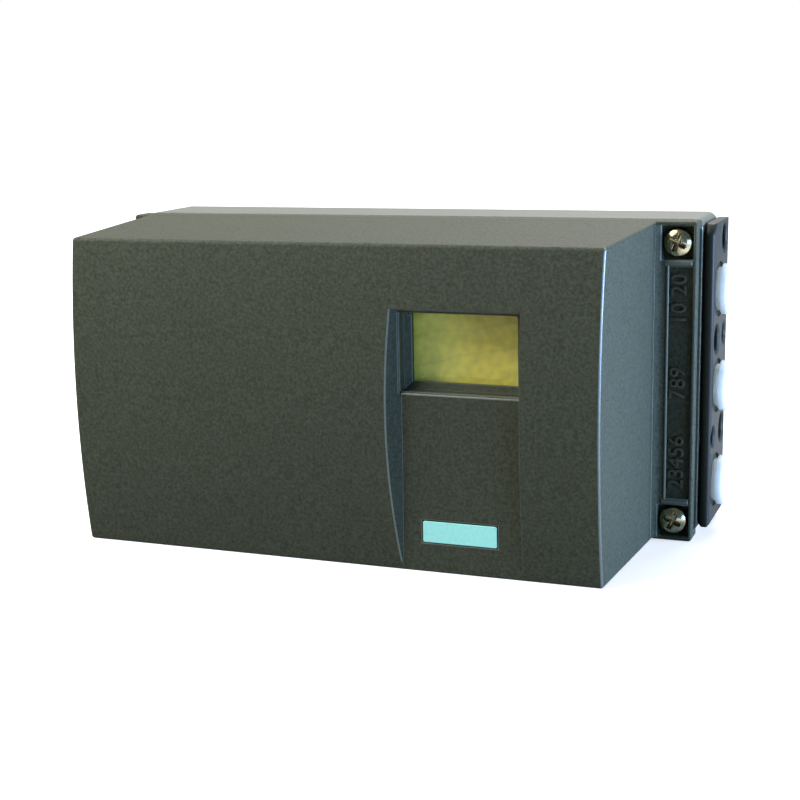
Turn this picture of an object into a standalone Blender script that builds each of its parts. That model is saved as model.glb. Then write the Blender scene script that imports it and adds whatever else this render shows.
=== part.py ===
"""Electropneumatic valve positioner: housing, lift-off cover, gear train, electronics and port strip.

Lengths are in metres. X runs towards the port strip, Y towards the mounting side and Z up.
The origin is the centre of the rear mounting face.
"""

import math

import bmesh
import bpy
from mathutils import Matrix, Vector

PARTS = "valve_positioner"
CUTTERS = "valve_positioner_cutters"

# Housing
HOUSING_WIDTH = 0.1845
HOUSING_HEIGHT = 0.0955
HOUSING_DEPTH = 0.0885
BASE_DEPTH = 0.0250
FLANGE_DEPTH = 0.0090
WALL = 0.0032
SIDE_WALL = 0.0047
PORT_SIDE_WALL = 0.0163
CORNER_RADIUS = 0.0030
CORNER_BOSS = 0.0145
CORNER_BOSS_WIDTH = 0.0128
FIT_GAP = 0.0003
RUNNING_GAP = 0.0001

# Cover
COVER_LEFT = 0.0874
COVER_RIGHT = 0.0807
SIDE_DRAFT = 0.0033
TOP_DRAFT = 0.0023
FRONT_BULGE = 0.0041
COVER_EDGE = 0.0009
ROOT_FILLET = 0.0030
ARC_STEPS = 18

# Recess in the front, with the window and the name plate
RECESS_LEFT = 0.01645
RECESS_RIGHT = 0.0552
RECESS_DROP = 0.0199
RECESS_EDGE_RADIUS = 0.350
RECESS_WALL_SLOPE = 0.85
WINDOW_WIDTH = 0.0346
WINDOW_HEIGHT = 0.0222
WINDOW_MARGIN = 0.0013
WINDOW_DEPTH = 0.0040
WINDOW_BEVEL = 0.0019
WINDOW_LIP = 0.0009
PANE_LEDGE = 0.0014
PANE_THICKNESS = 0.0015
PLATE_WIDTH = 0.0218
PLATE_HEIGHT = 0.0061
PLATE_THICKNESS = 0.0005
PLATE_UP = 0.0120
PLATE_SINK = 0.0006

# Cover screws and the flange around them
SCREW_INSET_X = 0.00565
SCREW_INSET_Z = 0.0062
SCREW_HEAD_RADIUS = 0.0044
SCREW_HEAD_HEIGHT = 0.0031
SCREW_RADIUS = 0.0024
SCREW_GRIP = 0.0055
POCKET_DEPTH = 0.0025
POCKET_HALF_HEIGHT = 0.0048
PANEL_DEPTH = 0.0012
PANEL_LEFT = 0.0838
FLANGE_RIM = 0.0010
FLANGE_RIB = 0.0022
DRIVER_RADIUS = 0.0023

# Seal between the cover and the base
SEAL_WIDTH = 0.0012
SEAL_HEIGHT = 0.0015
SEAL_RIGHT = 0.0798

# Port strip on the right side
STRIP_PROUD = 0.0032
STRIP_BOTTOM = 0.0020
STRIP_DROP = 0.0015
STRIP_CHAMFER = 0.0030
BLOCK_DEEP = 0.0157
BLOCK_BOTTOM = 0.0100
BLOCK_DROP = 0.0105
BLOCK_FRONT = -0.0225
BLOCK_BACK = -0.0025
FOOT_BOTTOM = 0.0070
TOP_HOLE_DROP = 0.0055
PORT_Y = -0.0140
PORT_RADIUS = 0.0058
PORT_DEPTH = 0.0120
SPOT_FACE_RADIUS = 0.0083
SPOT_FACE_DEPTH = 0.0008
M8_RADIUS = 0.0042
M8_DEPTH = 0.0145
M6_RADIUS = 0.0030
M6_DEPTH = 0.0080
HOLE_CHAMFER = 0.0009
GASKET_THICKNESS = 0.0010
STRIP_SCREW_RADIUS = 0.0018
STRIP_SCREW_HEAD = 0.0034
STRIP_SCREW_HEAD_HEIGHT = 0.0022
CAP_RADIUS = 0.0076
CAP_HEIGHT = 0.0040
CAP_EDGE = 0.0015
CAP_SPIGOT = 0.0075
CAP_WALL = 0.0014
CAP_SKIN = 0.0012

# Cable entries on the left side
ENTRY_Y = -0.0135
ENTRY_RADIUS = 0.0099
ENTRY_SPACING = 0.0405
GLAND_FLATS = 0.0240
GLAND_HEX = 0.0050
GLAND_THREAD_RADIUS = 0.0088
GLAND_THREAD = 0.0070
GLAND_BORE = 0.0062
GLAND_NUT_LENGTH = 0.0140
CABLE_HOLE = 0.0046
PLUG_RIM = 0.0021
PLUG_HEAD = 0.0036
PLUG_EDGE = 0.0010
PLUG_WALL = 0.0022
PLUG_SLOT = 0.0016
PLUG_RING = 0.0012

# Feedback shaft, gear train and potentiometer
SHAFT_X = -0.0250
SHAFT_RADIUS = 0.0040
SHAFT_OUTSIDE = 0.0170
SHAFT_FLAT = 0.0010
SHAFT_FLAT_LENGTH = 0.0120
BUSH_RADIUS = 0.0060
BUSH_FLANGE_RADIUS = 0.0080
BUSH_FLANGE = 0.0013
BOSS_RADIUS = 0.0100
BOSS_HEIGHT = 0.0130
SEAL_RING_RADIUS = 0.0080
SEAL_RING_DEPTH = 0.0026
GEAR_MODULE = 0.0008
GEAR_TEETH = 39
PINION_TEETH = 13
GEAR_THICKNESS = 0.0036
WHEEL_RADIUS = 0.0168
WHEEL_THICKNESS = 0.0030
WHEEL_NOTCHES = 20
CIRCLIP_THICKNESS = 0.0008
POT_RADIUS = 0.0085
PINION_SHAFT_RADIUS = 0.0030
PINION_PIN_RADIUS = 0.0015
BRACKET_THICKNESS = 0.0015
BRACKET_MARGIN = 0.0014
BRACKET_ABOVE = 0.0125
BRACKET_BELOW = 0.0215
POST_MARGIN = 0.0006
POST_RADIUS = 0.0028
SELECTOR_SIZE = 0.0060
SELECTOR_TRAVEL = 0.0050
SELECTOR_STEM = 0.0022

# Electronics module
TRAY_LEFT = 0.0060
TRAY_RIGHT = 0.0570
TRAY_INSET = 0.0075
TRAY_POST_INSET = 0.0060
BOARD_POST_INSET = 0.0160
TRAY_BACK = -0.0300
TRAY_WALL = 0.0020
COVER_PLATE = 0.0020
DISPLAY_WIDTH = 0.0330
DISPLAY_HEIGHT = 0.0212
DISPLAY_THICKNESS = 0.0016
DISPLAY_FRAME = 0.0022
MODULE_CLEARANCE = 0.0005
BOARD_THICKNESS = 0.0016
BOARD_SETBACK = 0.0080
KEY_RADIUS = 0.0036
KEY_COLLAR_RADIUS = 0.0046
KEY_PITCH = 0.0120
KEY_DROP = 0.0252
KEY_TRAVEL = 0.0008
KEY_PROUD = 0.0024
MODULE_SCREW_RADIUS = 0.0014
MODULE_SCREW_HEAD = 0.0027
MODULE_SCREW_HEAD_HEIGHT = 0.0018
MODULE_SCREW_LENGTH = 0.0085

# Valve block and pilot valve
VALVE_LEFT = 0.0300
VALVE_RIGHT = 0.0715
VALVE_BOTTOM = 0.0180
VALVE_DROP = 0.0175
VALVE_FRONT = -0.0270
SPIGOT_CLEARANCE = 0.0045
SPIGOT_FRONT = -0.0190
SPIGOT_BACK = -0.0070
PILOT_LEFT = 0.0085
PILOT_BOTTOM = 0.0270
PILOT_DROP = 0.0265
PILOT_FRONT = -0.0220
RESTRICTOR_RADIUS = 0.0025
RESTRICTOR_LENGTH = 0.0060
RESTRICTOR_X = 0.0650
RESTRICTOR_INSET = 0.0100
PURGE_TRAVEL = 0.0040
PURGE_SIZE = 0.0040
SILENCER_X = 0.0400
SILENCER_RADIUS = 0.0048

# Terminals
TERMINAL_BOARD_LEFT = -0.0790
TERMINAL_BOARD_RIGHT = -0.0578
TERMINAL_INSET = 0.0150
TERMINAL_POST_INSET = 0.0035
TERMINAL_END = 0.0065
TERMINAL_BOARD_Y = -0.0080
TERMINAL_DEPTH = 0.0150
TERMINAL_WIDTH = 0.0150
TERMINAL_PITCH = 0.0062
GROUND_HEAD_RADIUS = 0.0038

# Threaded bosses on the rear face
REAR_HOLE_SPACING_X = 0.0500
REAR_HOLE_SPACING_Z = 0.0300
REAR_HOLE_RADIUS = 0.0025
REAR_HOLE_DEPTH = 0.0100
REAR_BOSS_RADIUS = 0.0055

# Places that follow from the sizes above
HALF_WIDTH = HOUSING_WIDTH / 2
SHAFT_UP = HOUSING_HEIGHT / 2
RECESS_TOP = HOUSING_HEIGHT - RECESS_DROP
STRIP_TOP = HOUSING_HEIGHT - STRIP_DROP
BLOCK_TOP = STRIP_TOP - BLOCK_DROP
PORT_PITCH = (STRIP_TOP - TOP_HOLE_DROP) / 3
UPPER_ENTRY = (HOUSING_HEIGHT + ENTRY_SPACING) / 2
LOWER_ENTRY = (HOUSING_HEIGHT - ENTRY_SPACING) / 2
TRAY_BOTTOM = TRAY_INSET
TRAY_TOP = HOUSING_HEIGHT - TRAY_INSET
VALVE_TOP = HOUSING_HEIGHT - VALVE_DROP
SPIGOT_BOTTOM = PORT_PITCH + SPIGOT_CLEARANCE
SPIGOT_TOP = 2 * PORT_PITCH - SPIGOT_CLEARANCE
PILOT_TOP = HOUSING_HEIGHT - PILOT_DROP
RESTRICTOR_UPPER = VALVE_TOP - RESTRICTOR_INSET
RESTRICTOR_LOWER = VALVE_BOTTOM + RESTRICTOR_INSET
TERMINAL_BOARD_BOTTOM = TERMINAL_INSET
TERMINAL_BOARD_TOP = HOUSING_HEIGHT - TERMINAL_INSET
TERMINAL_ROW = (TERMINAL_BOARD_TOP - TERMINAL_BOARD_BOTTOM) / 2 - TERMINAL_END
TERMINAL_WAYS = int(TERMINAL_ROW / TERMINAL_PITCH)
PARTING_Y = -BASE_DEPTH
FLANGE_Y = PARTING_Y - FLANGE_DEPTH
DRAFT_Y = FLANGE_Y + 0.001
FLOOR_Y = -WALL
RECESS_Y = -(HOUSING_DEPTH - FRONT_BULGE)
PANE_SEAT_Y = RECESS_Y + WINDOW_DEPTH + WINDOW_BEVEL + WINDOW_LIP
FRAME_BACK_Y = PANE_SEAT_Y + PANE_THICKNESS + 2 * FIT_GAP
MODULE_Y = FRAME_BACK_Y + MODULE_CLEARANCE
WINDOW_RIGHT = RECESS_RIGHT - WINDOW_MARGIN
WINDOW_X = WINDOW_RIGHT - WINDOW_WIDTH / 2
WINDOW_UP = RECESS_TOP - WINDOW_MARGIN - WINDOW_HEIGHT / 2
KEY_UP = WINDOW_UP - KEY_DROP
SCREW_X = HALF_WIDTH - SCREW_INSET_X
STRIP_X = HALF_WIDTH + FIT_GAP + STRIP_PROUD
BLOCK_X = STRIP_X - BLOCK_DEEP
LEDGE_INNER_X = HALF_WIDTH - PORT_SIDE_WALL
LEDGE_OUTER_X = BLOCK_X - GASKET_THICKNESS - 2 * FIT_GAP
ENTRY_X = -HALF_WIDTH - FIT_GAP
GEAR_DISTANCE = GEAR_MODULE * (GEAR_TEETH + PINION_TEETH) / 2 + RUNNING_GAP
BUSH_FRONT_Y = -(BOSS_HEIGHT + FIT_GAP + BUSH_FLANGE)
GEAR_BACK_Y = BUSH_FRONT_Y - 2 * FIT_GAP
GEAR_FRONT_Y = GEAR_BACK_Y - GEAR_THICKNESS
WHEEL_FRONT_Y = GEAR_FRONT_Y - FIT_GAP - WHEEL_THICKNESS
CIRCLIP_Y = WHEEL_FRONT_Y - FIT_GAP
SHAFT_END_Y = CIRCLIP_Y - CIRCLIP_THICKNESS - 0.0010
BRACKET_BACK_Y = SHAFT_END_Y - 0.0012
BRACKET_FRONT_Y = BRACKET_BACK_Y - BRACKET_THICKNESS

AXES = {
    "X": Matrix.Rotation(math.pi / 2, 4, "Y"),
    "-X": Matrix.Rotation(-math.pi / 2, 4, "Y"),
    "Y": Matrix.Rotation(-math.pi / 2, 4, "X"),
    "-Y": Matrix.Rotation(math.pi / 2, 4, "X"),
    "Z": Matrix.Identity(4),
}
# An outline's own x and y become world X and Z, or world Y and Z
FRONT_PLANE = Matrix.Rotation(math.pi / 2, 4, "X")
SIDE_PLANE = Matrix(((0, 0, 1, 0), (1, 0, 0, 0), (0, 1, 0, 0), (0, 0, 0, 1)))

FINISHES = {
    "grained_polycarbonate": ((0.060, 0.066, 0.058), 0.55, 0.0),
    "base_polycarbonate": ((0.070, 0.076, 0.070), 0.50, 0.0),
    "black_anodised_aluminium": ((0.045, 0.050, 0.048), 0.40, 0.6),
    "zinc_plated_steel": ((0.62, 0.61, 0.56), 0.30, 1.0),
    "white_polyethylene": ((0.82, 0.85, 0.86), 0.45, 0.0),
    "clear_polycarbonate": ((0.75, 0.76, 0.68), 0.05, 0.0),
    "teal_label": ((0.06, 0.52, 0.50), 0.40, 0.0),
    "black_rubber": ((0.02, 0.02, 0.02), 0.80, 0.0),
    "brass": ((0.70, 0.52, 0.22), 0.35, 1.0),
    "stainless_steel": ((0.55, 0.55, 0.56), 0.28, 1.0),
    "yellow_acetal": ((0.85, 0.62, 0.05), 0.45, 0.0),
    "white_acetal": ((0.85, 0.84, 0.80), 0.45, 0.0),
    "grey_abs": ((0.30, 0.31, 0.33), 0.50, 0.0),
    "lcd_glass": ((0.36, 0.38, 0.07), 0.12, 0.0),
    "circuit_board_green": ((0.02, 0.18, 0.07), 0.40, 0.0),
    "green_polyamide": ((0.05, 0.30, 0.12), 0.45, 0.0),
    "black_polyamide": ((0.03, 0.03, 0.03), 0.50, 0.0),
    "cast_aluminium": ((0.50, 0.51, 0.52), 0.45, 1.0),
    "sintered_bronze": ((0.45, 0.32, 0.16), 0.80, 0.8),
}


def height(up):
    """World Z of a height above the housing's bottom."""
    return up - HOUSING_HEIGHT / 2


def clear_scene():
    for item in list(bpy.data.objects):
        bpy.data.objects.remove(item, do_unlink=True)


def collection(name):
    found = bpy.data.collections.get(name)
    if found is None:
        found = bpy.data.collections.new(name)
        bpy.context.scene.collection.children.link(found)
    return found


def finish(name):
    """Principled material of one finish."""
    found = bpy.data.materials.get(name)
    if found is None:
        colour, roughness, metallic = FINISHES[name]
        found = bpy.data.materials.new(name)
        found.use_nodes = True
        shader = found.node_tree.nodes["Principled BSDF"]
        shader.inputs["Base Color"].default_value = (*colour, 1.0)
        shader.inputs["Roughness"].default_value = roughness
        shader.inputs["Metallic"].default_value = metallic
        found.diffuse_color = (*colour, 1.0)
    return found


def add_object(name, bm, material, place):
    """Object at a place, from a bmesh whose own origin is that place."""
    mesh = bpy.data.meshes.new(name)
    bmesh.ops.recalc_face_normals(bm, faces=bm.faces)
    bm.to_mesh(mesh)
    bm.free()
    mesh.shade_smooth()
    mesh.set_sharp_from_angle(angle=math.radians(35))
    item = bpy.data.objects.new(name, mesh)
    item.location = place
    if material:
        mesh.materials.append(finish(material))
    collection(PARTS).objects.link(item)
    return item


def soften(item, width, segments=1, angle=40):
    """Round the sharp edges."""
    step = item.modifiers.new("edges", "BEVEL")
    step.width = width
    step.segments = segments
    step.limit_method = "ANGLE"
    step.angle_limit = math.radians(angle)
    return item


def block(name, low, high, material=None, edge=0.0):
    """Box between two corners."""
    low = Vector(low)
    high = Vector(high)
    bm = bmesh.new()
    bmesh.ops.create_cube(bm, size=1.0)
    bmesh.ops.scale(bm, vec=high - low, verts=bm.verts)
    item = add_object(name, bm, material, (low + high) / 2)
    if edge:
        soften(item, edge)
    return item


def tapered_block(name, low, high, shrink):
    """Box whose rear face is smaller by shrink on each side."""
    item = block(name, low, high)
    size = item.dimensions if item.dimensions.length else Vector(high) - Vector(low)
    for vertex in item.data.vertices:
        if vertex.co.y > 0:
            vertex.co.x *= 1 - 2 * shrink / size.x
            vertex.co.z *= 1 - 2 * shrink / size.z
    return item


def rod(name, start, axis, length, radius, material=None, sides=24, tip=None):
    """Cylinder or cone from a start point along an axis."""
    bm = bmesh.new()
    bmesh.ops.create_cone(
        bm, cap_ends=True, segments=sides, radius1=radius,
        radius2=radius if tip is None else tip, depth=length)
    bmesh.ops.translate(bm, vec=(0, 0, length / 2), verts=bm.verts)
    bmesh.ops.transform(bm, matrix=AXES[axis], verts=bm.verts)
    return add_object(name, bm, material, start)


def turned(name, profile, start, axis, material=None, steps=24):
    """Profile of (radius, height) pairs turned about an axis through start.

    It runs down the outer side, top to bottom. A profile that leaves the axis free is a ring.
    """
    bm = bmesh.new()
    points = [bm.verts.new((radius, 0, up)) for radius, up in profile]
    for first, second in zip(points, points[1:]):
        bm.edges.new((first, second))
    if profile[0][0] > 0:
        bm.edges.new((points[-1], points[0]))
    item = add_object(name, bm, material, (0, 0, 0))
    screw = item.modifiers.new("turn", "SCREW")
    screw.steps = steps
    screw.render_steps = steps
    screw.use_merge_vertices = True
    screw.merge_threshold = 0.00001
    item.matrix_world = Matrix.Translation(start) @ AXES[axis]
    return item


def extruded(name, outlines, near, far, material=None, plane=FRONT_PLANE, pivot=(0, 0)):
    """Flat outlines extruded from one depth to another; the inner outlines are holes.

    In the front plane an outline holds (x, z) and the depth is y. In the side plane it holds
    (y, z) and the depth is x. The pivot becomes the object's origin.
    """
    curve = bpy.data.curves.new(name, "CURVE")
    curve.dimensions = "2D"
    curve.fill_mode = "BOTH"
    curve.extrude = abs(far - near) / 2
    for outline in outlines:
        spline = curve.splines.new("POLY")
        spline.points.add(len(outline) - 1)
        for point, (across, up) in zip(spline.points, outline):
            point.co = (across - pivot[0], up - pivot[1], 0, 1)
        spline.use_cyclic_u = True
    sheet = bpy.data.objects.new(name + "_outline", curve)
    collection(PARTS).objects.link(sheet)
    seen = sheet.evaluated_get(bpy.context.evaluated_depsgraph_get())
    mesh = bpy.data.meshes.new_from_object(seen)
    bm = bmesh.new()
    bm.from_mesh(mesh)
    bpy.data.meshes.remove(mesh)
    bpy.data.objects.remove(sheet, do_unlink=True)
    bmesh.ops.remove_doubles(bm, verts=bm.verts, dist=0.000001)
    bmesh.ops.transform(bm, matrix=plane, verts=bm.verts)
    middle = (near + far) / 2
    if plane is FRONT_PLANE:
        place = (pivot[0], middle, pivot[1])
    else:
        place = (middle, pivot[0], pivot[1])
    return add_object(name, bm, material, place)


def combine(item, tool, operation):
    step = item.modifiers.new(operation.lower(), "BOOLEAN")
    step.operation = operation
    step.solver = "EXACT"
    step.object = tool
    tool.hide_render = True
    tool.display_type = "WIRE"
    for owner in list(tool.users_collection):
        owner.objects.unlink(tool)
    collection(CUTTERS).objects.link(tool)


def cut(item, *tools):
    for tool in tools:
        combine(item, tool, "DIFFERENCE")


def join(item, *tools):
    for tool in tools:
        combine(item, tool, "UNION")


def arc(centre, radius, start, end, steps):
    """Points on an arc, with angles in degrees."""
    points = []
    for step in range(steps + 1):
        angle = math.radians(start + (end - start) * step / steps)
        points.append((centre[0] + radius * math.cos(angle), centre[1] + radius * math.sin(angle)))
    return points


def round_rectangle(low, high, radius, steps=4):
    """Rectangle outline with rounded corners."""
    return (
        arc((high[0] - radius, high[1] - radius), radius, 0, 90, steps)
        + arc((low[0] + radius, high[1] - radius), radius, 90, 180, steps)
        + arc((low[0] + radius, low[1] + radius), radius, 180, 270, steps)
        + arc((high[0] - radius, low[1] + radius), radius, 270, 360, steps))


def circle(centre, radius, steps=24):
    return arc(centre, radius, 0, 360, steps)[:-1]


def front_y(z, inset=0.0):
    """Depth of the arched front at a world height, moved inwards by inset."""
    half_chord = (HOUSING_HEIGHT - TOP_DRAFT) / 2
    radius = (half_chord ** 2 + FRONT_BULGE ** 2) / (2 * FRONT_BULGE)
    rise = z - height(half_chord)
    inner = radius - inset
    return -HOUSING_DEPTH + radius - math.sqrt(inner ** 2 - rise ** 2)


def arched_form(name, left, right, low, high, inset, back):
    """Drafted block with the arched front, closed at the back plane.

    left, right, low and high are its sides where the flange begins.
    """
    reach = DRAFT_Y + HOUSING_DEPTH
    top_front = high - TOP_DRAFT
    profile = [(back, high + TOP_DRAFT * (back - DRAFT_Y) / reach), (back, low)]
    for step in range(ARC_STEPS + 1):
        z = low + (top_front - low) * step / ARC_STEPS
        profile.append((front_y(z, inset), z))
    form = extruded(name, [profile], left, right, plane=SIDE_PLANE)
    middle = (left + right) / 2
    for vertex in form.data.vertices:
        narrowing = SIDE_DRAFT * (DRAFT_Y - vertex.co.y) / reach
        if vertex.co.x + middle < middle:
            vertex.co.x += narrowing
        else:
            vertex.co.x -= narrowing
    return form


def cross_recess(name, centre, y, reach, depth):
    """Two tapered slots that cross in a screw head."""
    slots = []
    for index, size in enumerate(((reach, reach / 3.2), (reach / 3.2, reach))):
        low = (centre[0] - size[0], y - 0.0010, centre[1] - size[1])
        high = (centre[0] + size[0], y + depth, centre[1] + size[1])
        slots.append(tapered_block(f"{name}_{index}", low, high, reach / 4.5))
    return slots


def seal_outline(offset):
    """Path of the cover seal round the corner bosses, moved outwards by offset."""
    right = SEAL_RIGHT + offset
    left = -(HALF_WIDTH - SIDE_WALL / 2) - offset
    boss = -(HALF_WIDTH - CORNER_BOSS_WIDTH + WALL / 2) + 0.0030 - offset
    top = height(HOUSING_HEIGHT - WALL / 2) + offset
    bottom = height(WALL / 2) - offset
    upper = height(HOUSING_HEIGHT - CORNER_BOSS + WALL / 2) + offset
    lower = height(CORNER_BOSS - WALL / 2) - offset
    return [
        (right, bottom), (right, top), (boss, top), (boss, upper),
        (left, upper), (left, lower), (boss, lower), (boss, bottom)]


def corner_screws():
    """Name and centre of each cover screw, in the front plane."""
    for side, x in (("left", -SCREW_X), ("right", SCREW_X)):
        for level, up in (("lower", SCREW_INSET_Z), ("upper", HOUSING_HEIGHT - SCREW_INSET_Z)):
            yield f"{side}_{level}", x, height(up)


def tray_posts():
    inset = TRAY_POST_INSET
    for x in (TRAY_LEFT + inset, TRAY_RIGHT - inset):
        for up in (TRAY_BOTTOM + inset, TRAY_TOP - inset):
            yield x, height(up)


def bracket_span():
    """Left, right, lower and upper sides of the gear bracket."""
    clear = WHEEL_RADIUS + BRACKET_MARGIN
    half = clear + 2 * POST_RADIUS + POST_MARGIN
    left = SHAFT_X - half
    right = SHAFT_X + half
    low = height(SHAFT_UP) - BRACKET_BELOW
    high = height(SHAFT_UP) + GEAR_DISTANCE + BRACKET_ABOVE
    return left, right, low, high


def bracket_posts():
    left, right, low, high = bracket_span()
    inset = POST_RADIUS + 0.0004
    for x in (left + inset, right - inset):
        for z in (low + inset, high - inset):
            yield x, z


def terminal_posts():
    inset = TERMINAL_POST_INSET
    for x in (TERMINAL_BOARD_LEFT + inset, TERMINAL_BOARD_RIGHT - inset):
        for up in (TERMINAL_BOARD_BOTTOM + inset, TERMINAL_BOARD_TOP - inset):
            yield x, height(up)


def rear_holes():
    for x in (-REAR_HOLE_SPACING_X / 2, REAR_HOLE_SPACING_X / 2):
        for z in (-REAR_HOLE_SPACING_Z / 2, REAR_HOLE_SPACING_Z / 2):
            yield SHAFT_X + x, height(SHAFT_UP) + z


def base_housing():
    """Rear shell: tray with corner bosses, posts, cable entries and a seat for the port strip."""
    outline = round_rectangle(
        (-HALF_WIDTH, height(0)), (HALF_WIDTH, height(HOUSING_HEIGHT)), CORNER_RADIUS)
    base = extruded("base_housing", [outline], PARTING_Y, 0, "base_polycarbonate")
    front = PARTING_Y - 0.0010
    cut(base, block(
        "base_cavity_wide",
        (-HALF_WIDTH + SIDE_WALL, front, height(CORNER_BOSS)),
        (LEDGE_INNER_X, FLOOR_Y, height(HOUSING_HEIGHT - CORNER_BOSS))))
    cut(base, block(
        "base_cavity_tall",
        (-HALF_WIDTH + CORNER_BOSS_WIDTH, front, height(WALL)),
        (LEDGE_INNER_X, FLOOR_Y, height(HOUSING_HEIGHT - WALL))))
    inside = FLOOR_Y + 0.0008
    shaft = (SHAFT_X, inside, height(SHAFT_UP))
    join(base, rod("base_shaft_boss", shaft, "-Y", inside + BOSS_HEIGHT, BOSS_RADIUS))
    for index, (x, z) in enumerate(rear_holes()):
        length = inside + REAR_HOLE_DEPTH + 0.0025
        join(base, rod(
            f"base_rear_boss_{index}", (x, inside, z), "-Y", length, REAR_BOSS_RADIUS, sides=16))
        cut(base, rod(
            f"base_rear_hole_{index}", (x, 0.0010, z), "-Y", REAR_HOLE_DEPTH + 0.0010,
            REAR_HOLE_RADIUS, sides=16))
    posts = [(x, z, TRAY_BACK + FIT_GAP, POST_RADIUS + 0.0007) for x, z in tray_posts()]
    posts += [(x, z, BRACKET_BACK_Y + FIT_GAP, POST_RADIUS) for x, z in bracket_posts()]
    posts += [(x, z, TERMINAL_BOARD_Y + FIT_GAP, POST_RADIUS) for x, z in terminal_posts()]
    for index, (x, z, top, radius) in enumerate(posts):
        join(base, rod(f"base_post_{index}", (x, inside, z), "-Y", inside - top, radius, sides=14))
        cut(base, rod(
            f"base_post_hole_{index}", (x, top - 0.0010, z), "Y",
            min(0.0080, 0.6 * (inside - top)) + 0.0010,
            MODULE_SCREW_RADIUS + FIT_GAP, sides=10))
    cut(base, rod(
        "base_bush_bore", (SHAFT_X, 0.0010, height(SHAFT_UP)), "-Y", BOSS_HEIGHT + 0.0030,
        BUSH_RADIUS + FIT_GAP))
    cut(base, rod(
        "base_seal_seat", (SHAFT_X, 0.0010, height(SHAFT_UP)), "-Y",
        SEAL_RING_DEPTH + FIT_GAP + 0.0010, SEAL_RING_RADIUS + FIT_GAP))
    cut(base, turned(
        "base_rear_ring",
        [(BOSS_RADIUS + 0.0060, 0.0010), (BOSS_RADIUS + 0.0060, -0.0012),
         (BOSS_RADIUS + 0.0020, -0.0012), (BOSS_RADIUS + 0.0020, 0.0010)],
        (SHAFT_X, 0, height(SHAFT_UP)), "Y"))
    for name, x, z in corner_screws():
        cut(base, rod(
            f"base_screw_hole_{name}", (x, front, z), "Y", SCREW_GRIP + 0.0014,
            SCREW_RADIUS + FIT_GAP, sides=16))
    for name, up in (("upper", UPPER_ENTRY), ("lower", LOWER_ENTRY)):
        cut(base, rod(
            f"base_entry_{name}", (-HALF_WIDTH - 0.0010, ENTRY_Y, height(up)), "X",
            SIDE_WALL + 0.0020, ENTRY_RADIUS + FIT_GAP))
    cut(base, rod(
        "base_ground_hole", (-HALF_WIDTH - 0.0010, ENTRY_Y, height((UPPER_ENTRY + LOWER_ENTRY) / 2)),
        "X", 0.0045, MODULE_SCREW_RADIUS + FIT_GAP, sides=16))
    cut_strip_seat(base)
    cut(base, rod(
        "base_silencer_hole", (SILENCER_X, ENTRY_Y, height(-0.0010)), "Z", WALL + 0.0020,
        SILENCER_RADIUS + FIT_GAP))
    return base


def cut_strip_seat(base):
    """Opening in the right wall that the port strip's inner block fills."""
    clear = FIT_GAP
    for name, front, low, high in strip_stack():
        cut(base, block(
            f"base_{name}_seat", (LEDGE_OUTER_X, front - clear, height(low) - clear),
            (HALF_WIDTH + 0.0010, BLOCK_BACK + clear, height(high) + clear)))
    cut(base, block(
        "base_spigot_window",
        (LEDGE_INNER_X - 0.0010, SPIGOT_FRONT - clear, height(SPIGOT_BOTTOM) - clear),
        (LEDGE_OUTER_X + 0.0010, SPIGOT_BACK + clear, height(SPIGOT_TOP) + clear)))
    for index, (y, up) in enumerate(strip_screws()):
        cut(base, rod(
            f"base_strip_screw_{index}", (LEDGE_INNER_X - 0.0010, y, height(up)), "X", 0.0060,
            STRIP_SCREW_RADIUS + FIT_GAP, sides=14))


def strip_stack():
    """Name, front, bottom and top of the blocks behind the strip's plate.

    The horn and the foot stay behind the cover screws' holes.
    """
    behind_screws = PARTING_Y + SCREW_GRIP + 0.0013
    yield "strip_block", BLOCK_FRONT, BLOCK_BOTTOM, BLOCK_TOP
    yield "strip_horn", behind_screws, BLOCK_TOP - 0.0010, STRIP_TOP - 3 * FIT_GAP
    yield "strip_foot", behind_screws, FOOT_BOTTOM, BLOCK_BOTTOM + 0.0010


def strip_screws():
    """Depth and height of the two screws that draw the strip against the base."""
    yield PORT_Y, PORT_PITCH
    yield PORT_Y + 0.0032, 2 * PORT_PITCH


def strip_holes():
    """Depth, height, radius and depth of drilling of each fastening hole."""
    yield PORT_Y + 0.0070, 3 * PORT_PITCH, M8_RADIUS, M8_DEPTH
    yield PORT_Y - 0.0036, 2 * PORT_PITCH, M8_RADIUS, M8_DEPTH
    yield PORT_Y + 0.0088, 2 * PORT_PITCH, M6_RADIUS, M6_DEPTH
    yield PORT_Y + 0.0080, PORT_PITCH, M8_RADIUS, M8_DEPTH
    yield PORT_Y - 0.0062, PORT_PITCH, M6_RADIUS, M6_DEPTH


def ports():
    """Height of each pneumatic port."""
    for index, name in enumerate(("lower", "middle", "upper")):
        yield name, PORT_PITCH / 2 + PORT_PITCH * index


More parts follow.
